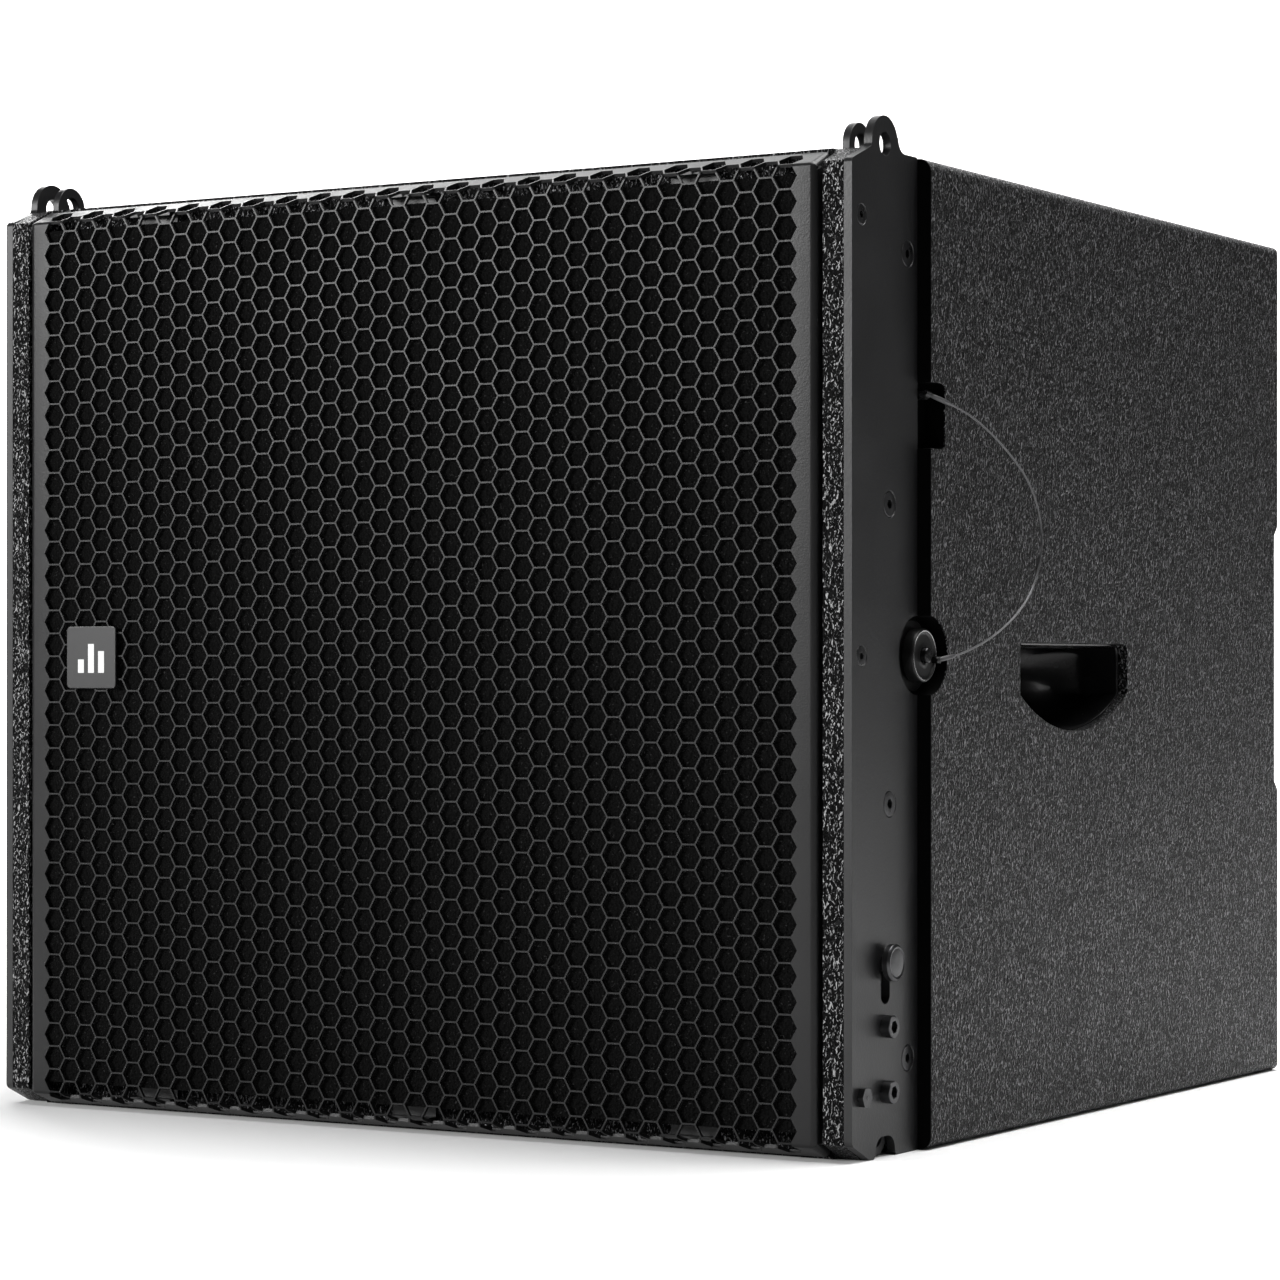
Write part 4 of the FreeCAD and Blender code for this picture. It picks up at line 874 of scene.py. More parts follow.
class MakeSidePanels(Maker, bpy.types.Operator):
    """Side panels with the step for the fly plate, the pockets, the handle opening and the rear notch"""

    bl_idname = "bass_cabinet.side_panels"
    bl_label = "Side panels"

    # Inner face of the board, the depth of the front strip and of the post behind it, and the edge radius.
    INNER, STRIP, POST, ROUND = 220.6, 12, 72, 6
    # Heights of the clip pocket and of the rear notch at its mouth, and the depth of each.
    CLIP_LOW, CLIP_HIGH, CLIP_DEPTH = 310.6, 339.9, 14
    NOTCH_LOW, NOTCH_HIGH, NOTCH_DEPTH = 144, 295, 9.2
    # The strip's ends slope over 16 mm of depth, 8 mm down at the foot and 7.1 mm at the top.
    SLOPE_REACH, SLOPE_FOOT, SLOPE_TOP = 16, 8, 7.1

    def make(self, scene):
        panel = eased(cut_away(self.blank(), self.cutters()), 0.9, 3)
        for side, sign in SIDES:
            publish(on_side(panel, sign), f"side_panel_{side}_skin", textured_paint(), "textured_paint",
                    "root", f"side_panel_{side}")

    def blank(self):
        """The routed section drawn up through the height, its outer edges rounded."""
        outer, seat, inner, post = SIDE_HIGH.x, PLATE_LOW.x, self.INNER, SIDE_LOW.x
        front, rear, post_end, strip_end = FRONT, SIDE_HIGH.y, FRONT + self.POST, FRONT + self.STRIP
        outline = [(inner, front), (seat, front), (seat, STEP), (outer, STEP), (outer, rear), (inner, rear),
                   (inner, post_end), (post, post_end), (post, strip_end), (inner, strip_end)]
        mesh = prism(outline, "Z", 0, HEIGHT)
        chosen = []
        for edge in mesh.edges:
            middle = (edge.verts[0].co + edge.verts[1].co) / 2
            way = edge.verts[1].co - edge.verts[0].co
            on_outer = abs(middle.x - outer) < 0.1
            along_y = abs(way.y) > 100 and on_outer
            upright = abs(way.z) > 100 and on_outer and abs(middle.y - rear) < 0.1
            if along_y or upright:
                chosen.append(edge)
        bmesh.ops.bevel(mesh, geom=chosen, offset=self.ROUND, offset_type="OFFSET", segments=7, profile=0.5,
                        affect="EDGES", clamp_overlap=False)
        return mesh

    def cutters(self):
        """Room for the channel, the pockets, the handle, the rear notch, the hinge pin and the slopes."""
        outer, seat, rear, behind = SIDE_HIGH.x, PLATE_LOW.x, SIDE_HIGH.y, 210
        channel = brick((EAR_LOW.x - 0.1, EAR_LOW.y - 0.4, -5), (seat + 5, EAR_HIGH.y + 0.4, HEIGHT + 5))
        start, end, foot, head = STEP - 5, STEP + self.CLIP_DEPTH, self.CLIP_LOW, self.CLIP_HIGH
        clip = prism(rounded([(start, foot, 3), (end, foot, 3), (end, head, 3), (start, head, 3)]), "X",
                     seat, outer + 5)
        pocket = prism(circle(PIN_Y, PIN_Z, POCKET_RADIUS), "X", seat, outer + 5)
        bore = prism(circle(PIN_Y, PIN_Z, 7.1, 32), "X", 196, seat + 5)
        handle = prism(handle_outline(0), "X", behind, outer + 5)
        depth, low, high = self.NOTCH_DEPTH, self.NOTCH_LOW, self.NOTCH_HIGH
        notch = prism([(rear - depth, low + depth + 1), (rear + 1, low), (rear + 1, high),
                       (rear - depth, high - depth - 1)], "X", behind, outer + 5)
        relief = brick((SIDE_LOW.x - 1, RIG_Y - 12, HEIGHT - 4), (EAR_LOW.x + 1, RIG_Y + 12, HEIGHT + 1))
        return [channel, clip, pocket, bore, handle, notch, relief] + self.slopes()

    def slopes(self):
        """Wedges off the top and the foot of the front strip, drawn 4 mm past it at both ends."""
        past = 4
        front, rear = FRONT - past, FRONT + self.SLOPE_REACH + past
        wedges = []
        for level, drop, way in ((HEIGHT, self.SLOPE_TOP, 1), (0, self.SLOPE_FOOT, -1)):
            rise = drop / self.SLOPE_REACH
            near = level - way * (drop + rise * past)
            far = level + way * rise * past
            wedges.append(prism([(front, near), (rear, far), (front, level + way * 5)], "X", self.INNER - 1,
                                SIDE_HIGH.x))
        return wedges


# The handle opening: both ends behind the front face, its top, where the bow springs, and its lowest point.
HANDLE_FRONT, HANDLE_BACK, HANDLE_TOP, HANDLE_SPRING, HANDLE_LOW = 154, 275, 225.6, 201.2, 183.9


def handle_outline(inset, steps=20):
    """Flat on top with small corner radii, upright ends, bowed below."""
    front, back = FRONT + HANDLE_FRONT + inset, FRONT + HANDLE_BACK - inset
    top, spring, low = HANDLE_TOP - inset, HANDLE_SPRING, HANDLE_LOW + inset
    half, drop = (back - front) / 2, spring - low
    radius = (half * half + drop * drop) / (2 * drop)
    middle = (front + back) / 2
    reach = math.asin(half / radius)
    bow = []
    for step in range(steps + 1):
        angle = -reach + 2 * reach * step / steps
        bow.append((middle + radius * math.sin(angle), low + radius - radius * math.cos(angle)))
    rise = [spring + (top - 5 - spring) * step / 6 for step in range(1, 7)]
    across = [back - 5 - (back - front - 10) * step / 28 for step in range(29)]
    return rounded(bow + [(back, z) for z in rise] + [(back, top, 3.5)] + [(y, top) for y in across]
                   + [(front, top, 3.5)] + [(front, z) for z in rise[::-1]], 5)


class MakeGrille(Maker, bpy.types.Operator):
    """Folded steel front with its hexagonal holes, the foam behind it and the badge"""

    bl_idname = "bass_cabinet.grille"
    bl_label = "Grille and badge"

    # Heights of the two folds and of the middle of the hole pattern.
    FOLD_LOW, FOLD_HIGH, MIDDLE = 6.3, 431.2, 219.6
    # Rows of tiles, and how many pitches from the middle the holes reach.
    ROWS, LAST_ROW = 44, 19.75

    def make(self, scene):
        self.make_sheet(scene.grille_sizes)
        carry(speaker_foam(), "grille_foam")
        corner = 2.2
        plate = [(BADGE_LOW.x, BADGE_LOW.z, corner), (BADGE_HIGH.x, BADGE_LOW.z, corner),
                 (BADGE_HIGH.x, BADGE_HIGH.z, corner), (BADGE_LOW.x, BADGE_HIGH.z, corner)]
        badge = eased(prism(rounded(plate), "Y", BADGE_LOW.y, BADGE_HIGH.y), 0.35, 3)
        publish(badge, "badge_plate", badge_face(), "badge_plate", "root", "badge")

    def make_sheet(self, sizes):
        """The developed sheet of tiles, folded, given its thickness and eased."""
        mesh = self.tiles(sizes)
        bmesh.ops.translate(mesh, vec=(0, self.MIDDLE, 0), verts=mesh.verts)
        self.fold(mesh, sizes)
        slivers = [face for face in mesh.faces if face.calc_area() < 0.001]
        bmesh.ops.delete(mesh, geom=slivers, context="FACES")
        bmesh.ops.recalc_face_normals(mesh, faces=mesh.faces)
        if sum(face.normal.y for face in mesh.faces) > 0:
            bmesh.ops.reverse_faces(mesh, faces=mesh.faces)
        solid = modified(mesh, ("SOLIDIFY", {"thickness": sizes.metal, "offset": -1}))
        publish(eased(solid, 0.28, 1, 70), "front_grille_perforated", grille_paint(), "grille_paint", "root",
                "front_grille", smooth=40)

    def tiles(self, sizes):
        """Hexagonal tiles in staggered columns, each with a hole inside the field and closed outside it."""
        inputs = {"Pitch": "Float", "Hole": "Float", "Holes across": "Int", "Last row": "Float",
                  "Paint": "Material"}
        graph, given = geometry_tree("perforated_sheet", inputs)
        pitch, hole, across = given.other("Pitch"), given.other("Hole"), given.other("Holes across")
        step = pitch * (math.sqrt(3) / 2)
        columns, rows = across + 6, self.ROWS
        grid = graph.add("GeometryNodeMeshGrid", None,
                         {"Size X": (columns - 1) * step, "Size Y": pitch * (rows - 1),
                          "Vertices X": columns, "Vertices Y": rows})
        column = (graph.add("GeometryNodeInputIndex") / rows).floor()
        lift = graph.add("ShaderNodeCombineXYZ", None, {"Y": (1 - column.over(2)) * pitch * 0.5})
        points = graph.add("GeometryNodeSetPosition", None, {"Geometry": grid, "Offset": lift})
        spot = split(graph, graph.add("GeometryNodeInputPosition"))
        in_rows = abs(spot.other("Y")).below(given.other("Last row"))
        in_field = abs(spot.other("X")).below(across * step * 0.5) * in_rows

        cell = graph.add("GeometryNodeMeshCircle", {"fill_type": "NGON"},
                         {"Vertices": 6, "Radius": pitch / math.sqrt(3)})
        rim = graph.add("GeometryNodeExtrudeMesh", {"mode": "FACES"}, {"Mesh": cell, "Offset Scale": 0.0})
        top = rim.other("Top")
        shrunk = graph.add("GeometryNodeScaleElements", {"domain": "FACE"},
                           {"Geometry": rim, "Selection": top, "Scale": hole / pitch})
        ring = graph.add("GeometryNodeDeleteGeometry", {"domain": "FACE", "mode": "ALL"},
                         {"Geometry": shrunk, "Selection": top})
        ringed = graph.add("GeometryNodeInstanceOnPoints", None,
                           {"Points": points, "Selection": in_field, "Instance": ring})
        closed = graph.add("GeometryNodeInstanceOnPoints", None,
                           {"Points": points, "Selection": 1 - in_field, "Instance": cell})
        both = graph.add("GeometryNodeJoinGeometry", None, {"Geometry": ringed})
        graph.tree.links.new(closed.socket, both.socket.node.inputs[0])
        close_tree(graph, both, given.other("Paint"), weld=0.02)
        values = {"Pitch": sizes.pitch, "Hole": sizes.hole, "Holes across": sizes.columns,
                  "Last row": sizes.pitch * self.LAST_ROW, "Paint": grille_paint()}
        return grown(bmesh.new(), graph.tree, values)

    def fold(self, mesh, sizes):
        """Cuts the developed sheet along its fold lines, trims it, and bends each strip between them."""
        front, end = GRILLE_LOW.y, GRILLE_HIGH.y
        half = GRILLE_HIGH.x - sizes.side_bend
        side_arc = sizes.side_bend * math.pi / 2
        side_limit = half + side_arc + end - front - sizes.side_bend - 0.4
        bands = []
        for corner, lip in ((self.FOLD_LOW, GRILLE_LOW.z), (self.FOLD_HIGH, GRILLE_HIGH.z)):
            slope = math.atan2(abs(lip - corner), end - front)
            turn = math.pi / 2 - slope
            sign = math.copysign(1, lip - corner)
            reach = sizes.bend * math.tan(turn / 2)
            start = corner - sign * reach
            straight = math.hypot(lip - corner, end - front) - reach - 0.4
            bands.append((sign, start, turn, sizes.bend * turn, straight))
        cuts = [((sign * (half + side_arc * k / 4), 0, 0), (1, 0, 0)) for sign in (-1, 1) for k in range(5)]
        for sign, start, _, arc, _ in bands:
            cuts += [((0, start + sign * arc * k / 3, 0), (0, 1, 0)) for k in range(4)]
        for spot, way in cuts:
            everything = mesh.verts[:] + mesh.edges[:] + mesh.faces[:]
            bmesh.ops.bisect_plane(mesh, geom=everything, plane_co=spot, plane_no=way, dist=1e-4)
        trims = [((sign * side_limit, 0, 0), (sign, 0, 0)) for sign in (-1, 1)]
        for sign, start, _, arc, straight in bands:
            trims.append(((0, start + sign * (arc + straight), 0), (0, sign, 0)))
        for spot, way in trims:
            everything = mesh.verts[:] + mesh.edges[:] + mesh.faces[:]
            bmesh.ops.bisect_plane(mesh, geom=everything, plane_co=spot, plane_no=way, dist=1e-4,
                                   clear_outer=True)
        (_, low_start, _, _, _), (_, high_start, _, _, _) = bands
        corners = [face for face in mesh.faces if abs(face.calc_center_median().x) > half + side_arc
                   and not low_start < face.calc_center_median().y < high_start]
        bmesh.ops.delete(mesh, geom=corners, context="FACES")
        for vertex in mesh.verts:
            across, along = vertex.co.x, vertex.co.y
            past = max(0.0, abs(across) - half)
            angle = min(past / sizes.side_bend, math.pi / 2)
            x = min(abs(across), half) + math.sin(angle) * sizes.side_bend
            depth = (1 - math.cos(angle)) * sizes.side_bend + max(0.0, past - side_arc)
            y, z, inward = front, along, Vector((1, 0))
            for sign, start, turn, arc, _ in bands:
                beyond = sign * (along - start)
                if beyond > 0:
                    bent = min(beyond / sizes.bend, turn)
                    rest = max(0.0, beyond - arc)
                    y = front + sizes.bend * (1 - math.cos(bent)) + rest * math.sin(bent)
                    z = start + sign * (sizes.bend * math.sin(bent) + rest * math.cos(bent))
                    inward = Vector((math.cos(bent), -sign * math.sin(bent)))
            vertex.co = (math.copysign(x, across), y + inward.x * depth, z + inward.y * depth)


class MakeRigging(Maker, bpy.types.Operator):
    """Fly plates, inner ears, link bars and their knobs"""

    bl_idname = "bass_cabinet.rigging"
    bl_label = "Front rigging"

    def make(self, scene):
        steel = steel_paint()
        link_steel = satin_paint("link_steel", (0.02, 0.02, 0.021))
        knob_steel = bare_metal("knob_steel", (0.05, 0.05, 0.052))
        plate, ear, link, knob = self.fly_plate(), self.inner_ear(), self.link_bar(), self.knob()
        for side, sign in SIDES:
            publish(on_side(plate, sign), f"fly_plate_{side}_sheet", steel, "satin_black_steel", "root",
                    f"fly_plate_{side}")
            publish(on_side(ear, sign), f"inner_ear_{side}_sheet", steel, "satin_black_steel", "root",
                    f"inner_ear_plate_{side}")
            publish(on_side(link, sign), f"link_bar_{side}_steel", link_steel, "link_steel", f"link_{side}",
                    f"link_bar_{side}")
            publish(on_side(knob, sign), f"link_knob_{side}_turned", knob_steel, "knob_steel", f"link_{side}",
                    f"link_knob_{side}")

    def fly_plate(self):
        """Sheet with the hinge ear, the notch at its foot, the pin's hole, the slot and the screw seats."""
        low, high = PLATE_LOW.x, PLATE_HIGH.x
        front, rear, top = FRONT, PLATE_HIGH.y, PLATE_HIGH.z
        ear, shoulder = EAR_RADIUS, 432.4
        edge = HEIGHT + 0.5
        outline = [(front, 8, 3), (front, shoulder, 3), (RIG_Y - ear, EAR_Z - 2.2, 2.5),
                   (RIG_Y - ear, top, ear - 0.02), (RIG_Y + ear, top, ear - 0.02), (RIG_Y + ear, edge, 6.5),
                   (rear, edge, 1.2), (rear, 0, 1.2),
                   (RIG_Y + NOTCH, 0, 2.5), (RIG_Y + NOTCH, NOTCH, 6.7), (RIG_Y - NOTCH, NOTCH, 6.7),
                   (RIG_Y - NOTCH, 0, 2.5), (front + 17, 0, 3)]
        mesh = prism(rounded(outline, 10), "X", low, high)
        half, slot_low, slot_high = 4.25, KNOB_Z - 18.25, KNOB_Z + 4.25
        slot = [(RIG_Y - half, slot_low, 4.23), (RIG_Y + half, slot_low, 4.23),
                (RIG_Y + half, slot_high, 4.23), (RIG_Y - half, slot_high, 4.23)]
        holes = [circle(RIG_Y, EAR_Z, HINGE_BORE), circle(PIN_Y, PIN_Z, POCKET_RADIUS, 64), rounded(slot, 8)]
        cutters = [prism(hole, "X", low - 2, high + 2) for hole in holes]
        for node, radius in (("plate_screws_large", 6.1), ("plate_screws_small", 4.8)):
            seat = [(radius - 3.2, -6), (radius - 3.2, -3.2), (radius + 1, 1)]
            cutters += [lathe(seat, (high, y, z), (1, 0, 0), 32) for y, z in screw_places(node)]
        return eased(cut_away(mesh, cutters), 0.45, 3, 40)

    def inner_ear(self):
        """The plate behind the channel, with its own ear and notch."""
        low, high, foot = EAR_LOW.x, EAR_HIGH.x, 0.6
        reach = EAR_HIGH.z - EAR_Z
        outline = [(EAR_LOW.y, foot, 1), (EAR_LOW.y, HEIGHT - 3, 3), (RIG_Y - reach, HEIGHT),
                   (RIG_Y - reach, EAR_HIGH.z, reach - 0.02), (RIG_Y + reach, EAR_HIGH.z, reach - 0.02),
                   (RIG_Y + reach, HEIGHT), (EAR_HIGH.y, HEIGHT - 3, 3), (EAR_HIGH.y, foot, 1),
                   (RIG_Y + NOTCH, foot), (RIG_Y + NOTCH, NOTCH, 6.7), (RIG_Y - NOTCH, NOTCH, 6.7),
                   (RIG_Y - NOTCH, foot)]
        mesh = prism(rounded(outline, 10), "X", low, high)
        bore = prism(circle(RIG_Y, EAR_Z, HINGE_BORE), "X", low - 2, high + 2)
        return eased(cut_away(mesh, [bore]), 0.4, 3, 40)

    def link_bar(self):
        """Bar with a round foot, its hinge hole and the long holes that the guide screws run in."""
        low, high = LINK_LOW.x, LINK_HIGH.x
        half = (LINK_HIGH.y - LINK_LOW.y) / 2
        outline = [(LINK_LOW.y, LINK_LOW.z, half - 0.02), (LINK_HIGH.y, LINK_LOW.z, half - 0.02),
                   (LINK_HIGH.y, LINK_HIGH.z, 3), (LINK_LOW.y, LINK_HIGH.z, 3)]
        mesh = prism(rounded(outline, 12), "X", low, high)
        holes = [circle(RIG_Y, LINK_LOW.z + half, HINGE_BORE)]
        room, travel = 3.3, 14
        for _, z in screw_places("guide_screws"):
            foot, head = z - room, z + room + travel
            holes.append(rounded([(RIG_Y - room, foot, 3.28), (RIG_Y + room, foot, 3.28),
                                  (RIG_Y + room, head, 3.28), (RIG_Y - room, head, 3.28)], 6))
        return eased(cut_away(mesh, [prism(hole, "X", low - 2, high + 2) for hole in holes]), 0.4, 2, 40)

    def knob(self):
        """Stud and a dished disc with a bevelled rim."""
        face, radius = KNOB_HIGH.x, (KNOB_HIGH.z - KNOB_LOW.z) / 2
        stud = [(2.9, KNOB_LOW.x - face), (3.0, KNOB_LOW.x - face + 0.5), (4.0, LINK_HIGH.x - face),
                (4.0, -4.2), (radius - 0.8, -4.0), (radius, -3.4), (radius, -1.1), (radius - 0.35, -0.55),
                (radius - 1.1, 0.0), (radius - 1.5, -0.05), (radius - 2.0, -0.3), (4.0, -0.12), (1.2, -0.05)]
        return lathe(stud, (face, RIG_Y, KNOB_Z), (1, 0, 0), 48)


def screw_places(node):
    """Centres of the separate right-hand solids of a fastener node, across the plate."""
    mesh = bmesh.new()
    mesh.from_mesh(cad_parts[node].data)
    bmesh.ops.remove_doubles(mesh, verts=mesh.verts, dist=1e-6)
    left = set(mesh.verts)
    spots = []
    while left:
        stack, island = [left.pop()], []
        while stack:
            vertex = stack.pop()
            island.append(vertex.co / MM)
            for edge in vertex.link_edges:
                other = edge.other_vert(vertex)
                if other in left:
                    left.remove(other)
                    stack.append(other)
        low = [min(point[axis] for point in island) for axis in range(3)]
        high = [max(point[axis] for point in island) for axis in range(3)]
        if low[0] > 0:
            spots.append(((low[1] + high[1]) / 2, (low[2] + high[2]) / 2))
    mesh.free()
    return sorted(spots)


class MakeScrews(Maker, bpy.types.Operator):
    """Countersunk, cap and hexagon-head screws of the fly plates, instanced on their places"""

    bl_idname = "bass_cabinet.screws"
    bl_label = "Plate screws"

    def make(self, scene):
        face, black = PLATE_HIGH.x, screw_metal()
        sunk_large = [(2.9, -20), (3, -3), (5.6, -0.5), (5.6, -0.15), (5.2, 0.0)]
        sunk_small = [(2.4, -11), (2.5, -2.3), (4.35, -0.5), (4.35, -0.15), (4.0, 0.0)]
        cap = [(2.9, -24), (3, -0.1), (5.0, 0.0), (5.0, 4.0), (4.8, 4.4), (4.5, 4.5)]
        kinds = (("plate_screws_large", sunk_large, (4, 2.4)), ("plate_screws_small", sunk_small, (3, 1.8)),
                 ("guide_screws", cap, (5, 2.6)))
        for node, profile, key in kinds:
            master = lathe(profile, (0, 0, 0), (0, 0, 1), 36, key)
            self.scatter(node, master, face, black)
        across = 4.62
        turns = [math.pi * step / 3 for step in range(6)]
        head = rounded([(across * math.cos(turn), across * math.sin(turn), 0.3) for turn in turns], 3)
        bolt = joined([prism(head, "Z", 0, 2.9),
                       lathe([(1.0, 2.85), (1.0, 3.0), (0.6, 3.02)], (0, 0, 0), (0, 0, 1), 16),
                       lathe([(2.4, -11), (2.5, 0.05)], (0, 0, 0), (0, 0, 1), 16)])
        self.scatter("earth_bolts", bolt, face, black)

    def scatter(self, node, master, face, finish):
        """Instances the master on each place, on both sides."""
        source = as_object(eased(master, 0.12, 2, 50), "master")
        seeds = bmesh.new()
        for y, z in screw_places(node):
            seeds.verts.new((face, y, z))
            seeds.verts.new((-face, y, z))
        graph, given = geometry_tree("fasteners", {"Fastener": "Object", "Seed": "Int", "Metal": "Material"})
        spot = split(graph, graph.add("GeometryNodeInputPosition"))
        outward = graph.add("ShaderNodeCombineXYZ", None, {"X": spot.other("X")})
        facing = graph.add("FunctionNodeAlignRotationToVector", {"axis": "Z"}, {"Vector": outward})
        turn = graph.add("FunctionNodeRandomValue", {"data_type": "FLOAT"},
                         {2: 0.0, 3: 2 * math.pi, "Seed": given.other("Seed")}, output=1)
        spin = graph.add("FunctionNodeEulerToRotation", None,
                         {0: graph.add("ShaderNodeCombineXYZ", None, {"Z": turn})})
        facing = graph.add("FunctionNodeRotateRotation", {"rotation_space": "LOCAL"}, {0: facing, 1: spin})
        shape = graph.add("GeometryNodeObjectInfo", None, {"Object": given.other("Fastener")},
                          output="Geometry")
        placed = graph.add("GeometryNodeInstanceOnPoints", None,
                           {"Points": given.other("Geometry"), "Instance": shape, "Rotation": facing})
        close_tree(graph, placed, given.other("Metal"))
        mesh = grown(seeds, graph.tree, {"Fastener": source, "Metal": finish, "Seed": 7})
        bpy.data.objects.remove(source)
        publish(mesh, node + "_set", finish, "black_screws", "root", node)


class MakePins(Maker, bpy.types.Operator):
    """Quick-lock pins with their buttons, and the sockets they park in"""

    bl_idname = "bass_cabinet.pins"
    bl_label = "Lock pins"

    def make(self, scene):
        steel = pin_head()
        seat, face = PLATE_LOW.x, 239.0
        centre = (face, PIN_Y, PIN_Z)
        head = [(4.7, PIN_LOW.x - face), (5, PIN_LOW.x - face + 0.8), (5, -6.3), (10.6, -6.1), (11.9, -5.4),
                (12.1, -4.6), (12.1, -1.2), (11.7, -0.35), (11.0, 0.0), (10.2, -0.15), (9.4, -0.7),
                (6.0, -0.8), (5.2, -0.5), (3.9, -0.5), (3.8, -0.9), (3.8, -4.7), (3.0, -4.8)]
        end, before = Vector(LANYARD_ROUTE[-1]) / MM, Vector(LANYARD_ROUTE[-2]) / MM
        way = (end - before).normalized()
        lug = brick((face - 1, end.y + 0.9, PIN_Z - 3.6), (face + 3.3, end.y + 2.8, PIN_Z - 0.4))
        boss = lathe([(1.2, -0.6), (1.45, -0.3), (1.45, 1.4), (1.2, 1.7)], end, way, 20)
        pin = joined([lathe(head, centre, (1, 0, 0), 56), eased(lug, 0.5, 2), boss])
        button = lathe([(3.3, BUTTON_LOW.x - face), (3.5, BUTTON_LOW.x - face + 0.3), (3.5, 1.5), (3.2, 2.0),
                        (2.4, 2.2), (1.2, 2.1)], centre, (1, 0, 0), 32)
        cup = [(7, -27.8), (7, 0.1), (15.4, 0.1), (16, 0.5), (16, 1.2), (15.6, 1.6), (5.7, 1.6), (5.1, 1.0),
               (5.1, -25.4)]
        socket = lathe(cup, (seat, PIN_Y, PIN_Z), (1, 0, 0), 48)
        sockets = joined([socket.copy(), mirrored(socket)])
        publish(sockets, "pin_socket_pair", steel, "pin_steel", "root", "pin_sockets")
        alloy = bare_metal("button_alloy", (0.02, 0.02, 0.021), 0.28)
        for side, sign in SIDES:
            publish(on_side(pin, sign), f"lock_pin_{side}_turned", steel, "pin_steel", f"lock_pin_{side}",
                    f"lock_pin_{side}")
            publish(on_side(button, sign), f"pin_button_{side}_cap", alloy, "button_alloy",
                    f"pin_button_{side}", f"pin_button_{side}")


class MakeHandles(Maker, bpy.types.Operator):
    """Glossy bowls behind the side openings and the liners of the rear grips"""

    bl_idname = "bass_cabinet.handles"
    bl_label = "Handles"

    def make(self, scene):
        gloss = satin_paint("cup_plastic", (0.003, 0.003, 0.0032), 500, 0.26, gloss=0.2)
        bowl = self.bowl()
        for side, sign in SIDES:
            publish(on_side(bowl, sign), f"handle_bowl_{side}", gloss, "cup_plastic", "root",
                    f"handle_cup_{side}", smooth=50)
            carry(gloss, f"rear_grip_liner_{side}")

    def bowl(self, steps=16):
        """A deep shell: the opening's outline swept back into a smooth round hollow."""
        lip, throat, floor = CUP_HIGH.x - 1.7, 219.0, CUP_LOW.x + 3
        inside = [self.rim(lip, 0.9), self.rim(lip - 0.8, 1.6)]
        depth, wall = throat - floor, 2.6
        parts = [step / steps for step in range(steps)]
        inside += [self.dish(part, 2.2, throat, depth, 52, 27) for part in parts]
        outside = [self.rim(lip, 0.2)]
        outside += [self.dish(part, 0.4, throat, depth + wall, 54.5, 29.5) for part in parts]
        mesh = bmesh.new()
        rows = [[mesh.verts.new(spot) for spot in row] for row in inside[::-1] + outside]
        for first, second in zip(rows, rows[1:]):
            for index in range(len(first)):
                following = (index + 1) % len(first)
                mesh.faces.new((first[index], first[following], second[following], second[index]))
        mesh.faces.new(rows[0][::-1])
        mesh.faces.new(rows[-1])
        bmesh.ops.recalc_face_normals(mesh, faces=mesh.faces)
        return mesh

    def rim(self, x, inset):
        """The outline at one depth."""
        return [Vector((x, *spot)) for spot in handle_outline(inset)]

    def dish(self, part, inset, throat, depth, half, tall):
        """One row of the hollow: the outline drawn towards an ellipse that shrinks to the back."""
        turn = part * math.pi / 2
        blend = min(1.0, part * 2.2)
        blend = blend * blend * (3 - 2 * blend)
        shrink = math.cos(turn) ** 1.05
        middle_y, middle_z = FRONT + 214.5, 213.5
        row = []
        for y, z in handle_outline(inset):
            angle = math.atan2((z - middle_z) / tall, (y - middle_y) / half)
            round_y = middle_y + half * shrink * math.cos(angle)
            round_z = middle_z + tall * shrink * math.sin(angle)
            row.append(Vector((throat - depth * math.sin(turn),
                               y + (round_y - y) * blend, z + (round_z - z) * blend)))
        return row


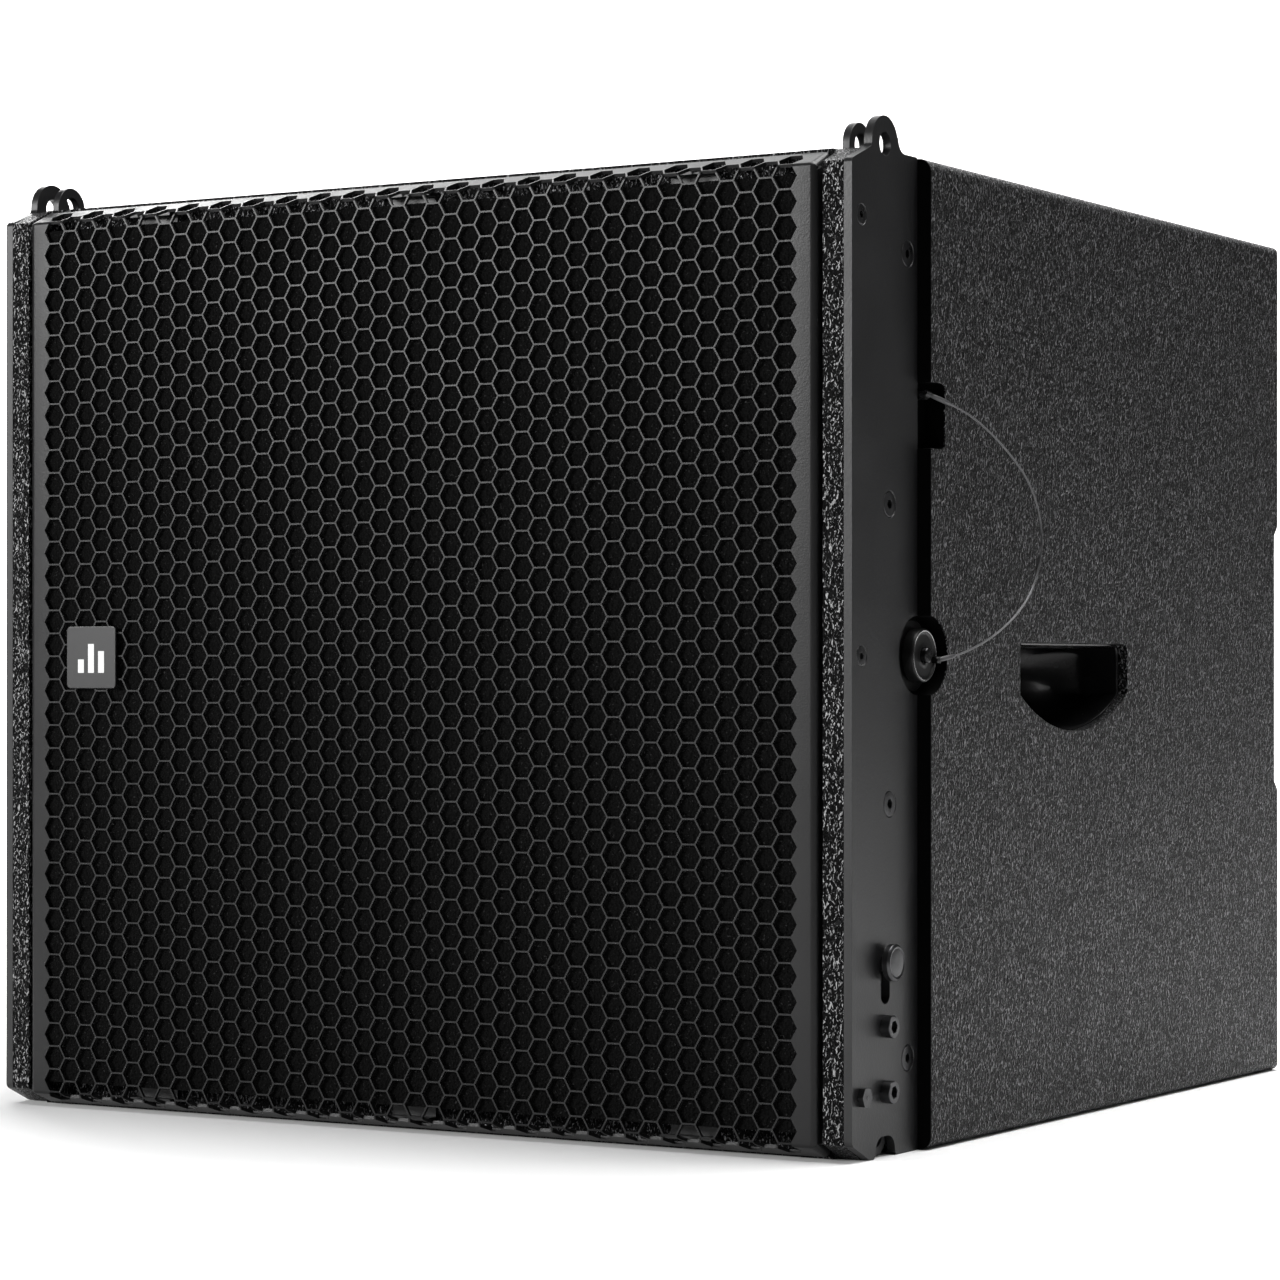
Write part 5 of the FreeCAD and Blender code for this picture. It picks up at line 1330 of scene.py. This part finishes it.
class MakeShell(Maker, bpy.types.Operator):
    """Top, bottom and rear panels, the rear hardware and every hidden piece's finish"""

    bl_idname = "bass_cabinet.shell"
    bl_label = "Shell and rear hardware"

    def make(self, scene):
        carry(textured_paint(), "top_panel", "bottom_panel", "rear_panel")
        carry(steel_paint(), "rear_fly_channel", "rear_link_arm", "grille_brackets")
        carry(screw_metal(), "woofer_screws", "rear_channel_screws", "connector_screws", "rear_hinge_bolt")
        carry(bare_metal("pin_steel", (0.04, 0.04, 0.041), 0.3), "rear_lock_pin", "lanyard_anchors")
        carry(satin_paint("connector_metal", (0.014, 0.014, 0.015)), "connector_plate")
        carry(moulded("socket_plastic", (0.012, 0.012, 0.013), 0.4), "speaker_sockets")
        carry(plywood(), "front_baffle", "window_brace")
        carry(moulded("port_board", (0.015, 0.015, 0.015), 0.6), "port_ducts")
        carry(fibre("damping_felt", (0.3, 0.3, 0.29), (0.55, 0.55, 0.53)), "damping_lining")
        carry(moulded("circuit_board", (0.02, 0.14, 0.05), 0.35), "filter_board")
        carry(satin_paint("cast_alloy", (0.03, 0.03, 0.032)), "woofer_basket")
        carry(moulded("gasket_rubber", (0.012, 0.012, 0.012), 0.6), "woofer_gasket", "woofer_surround")
        carry(fibre("cone_paper", (0.01, 0.01, 0.01), (0.03, 0.03, 0.03)), "woofer_cone", "dust_cap")
        carry(bare_metal("copper_coil", (0.6, 0.27, 0.12), 0.3), "voice_coil")
        carry(fibre("spider_cloth", (0.35, 0.2, 0.05), (0.6, 0.4, 0.12)), "spider")
        carry(bare_metal("motor_iron", (0.3, 0.3, 0.31), 0.4), "top_plate", "pole_plate")
        carry(moulded("ferrite", (0.05, 0.05, 0.053), 0.7), "ring_magnet")


# ---------------------------------------------------------------- add-on

OPERATORS = (MakeStage, MakeLanyards, MakeSidePanels, MakeGrille, MakeRigging, MakeScrews, MakePins,
             MakeHandles, MakeShell)


class CabinetPanel(bpy.types.Panel):
    """Lists the steps that build the cabinet"""

    bl_idname = "VIEW3D_PT_bass_cabinet"
    bl_label = "Bass Cabinet"
    bl_space_type = "VIEW_3D"
    bl_region_type = "UI"
    bl_category = "Bass Cabinet"

    def draw(self, context):
        for step in OPERATORS:
            self.layout.operator(step.bl_idname)
        for name in PROPERTY_GROUPS:
            box = self.layout.box()
            group = getattr(context.scene, name)
            for key in group.__annotations__:
                box.prop(group, key)


PROPERTY_GROUPS = {"cabinet_finish": CabinetFinish, "grille_sizes": GrilleSizes,
                   "lanyard_sizes": LanyardSizes}


def register():
    for name, group in PROPERTY_GROUPS.items():
        bpy.utils.register_class(group)
        setattr(bpy.types.Scene, name, PointerProperty(type=group))
    for step in OPERATORS:
        bpy.utils.register_class(step)
    bpy.utils.register_class(CabinetPanel)


def unregister():
    bpy.utils.unregister_class(CabinetPanel)
    for step in reversed(OPERATORS):
        bpy.utils.unregister_class(step)
    for name, group in reversed(PROPERTY_GROUPS.items()):
        delattr(bpy.types.Scene, name)
        bpy.utils.unregister_class(group)


def main():
    """Registers the add-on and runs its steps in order."""
    register()
    for step in OPERATORS:
        family, action = step.bl_idname.split(".")
        getattr(getattr(bpy.ops, family), action)()


if __name__ == "__main__":
    main()
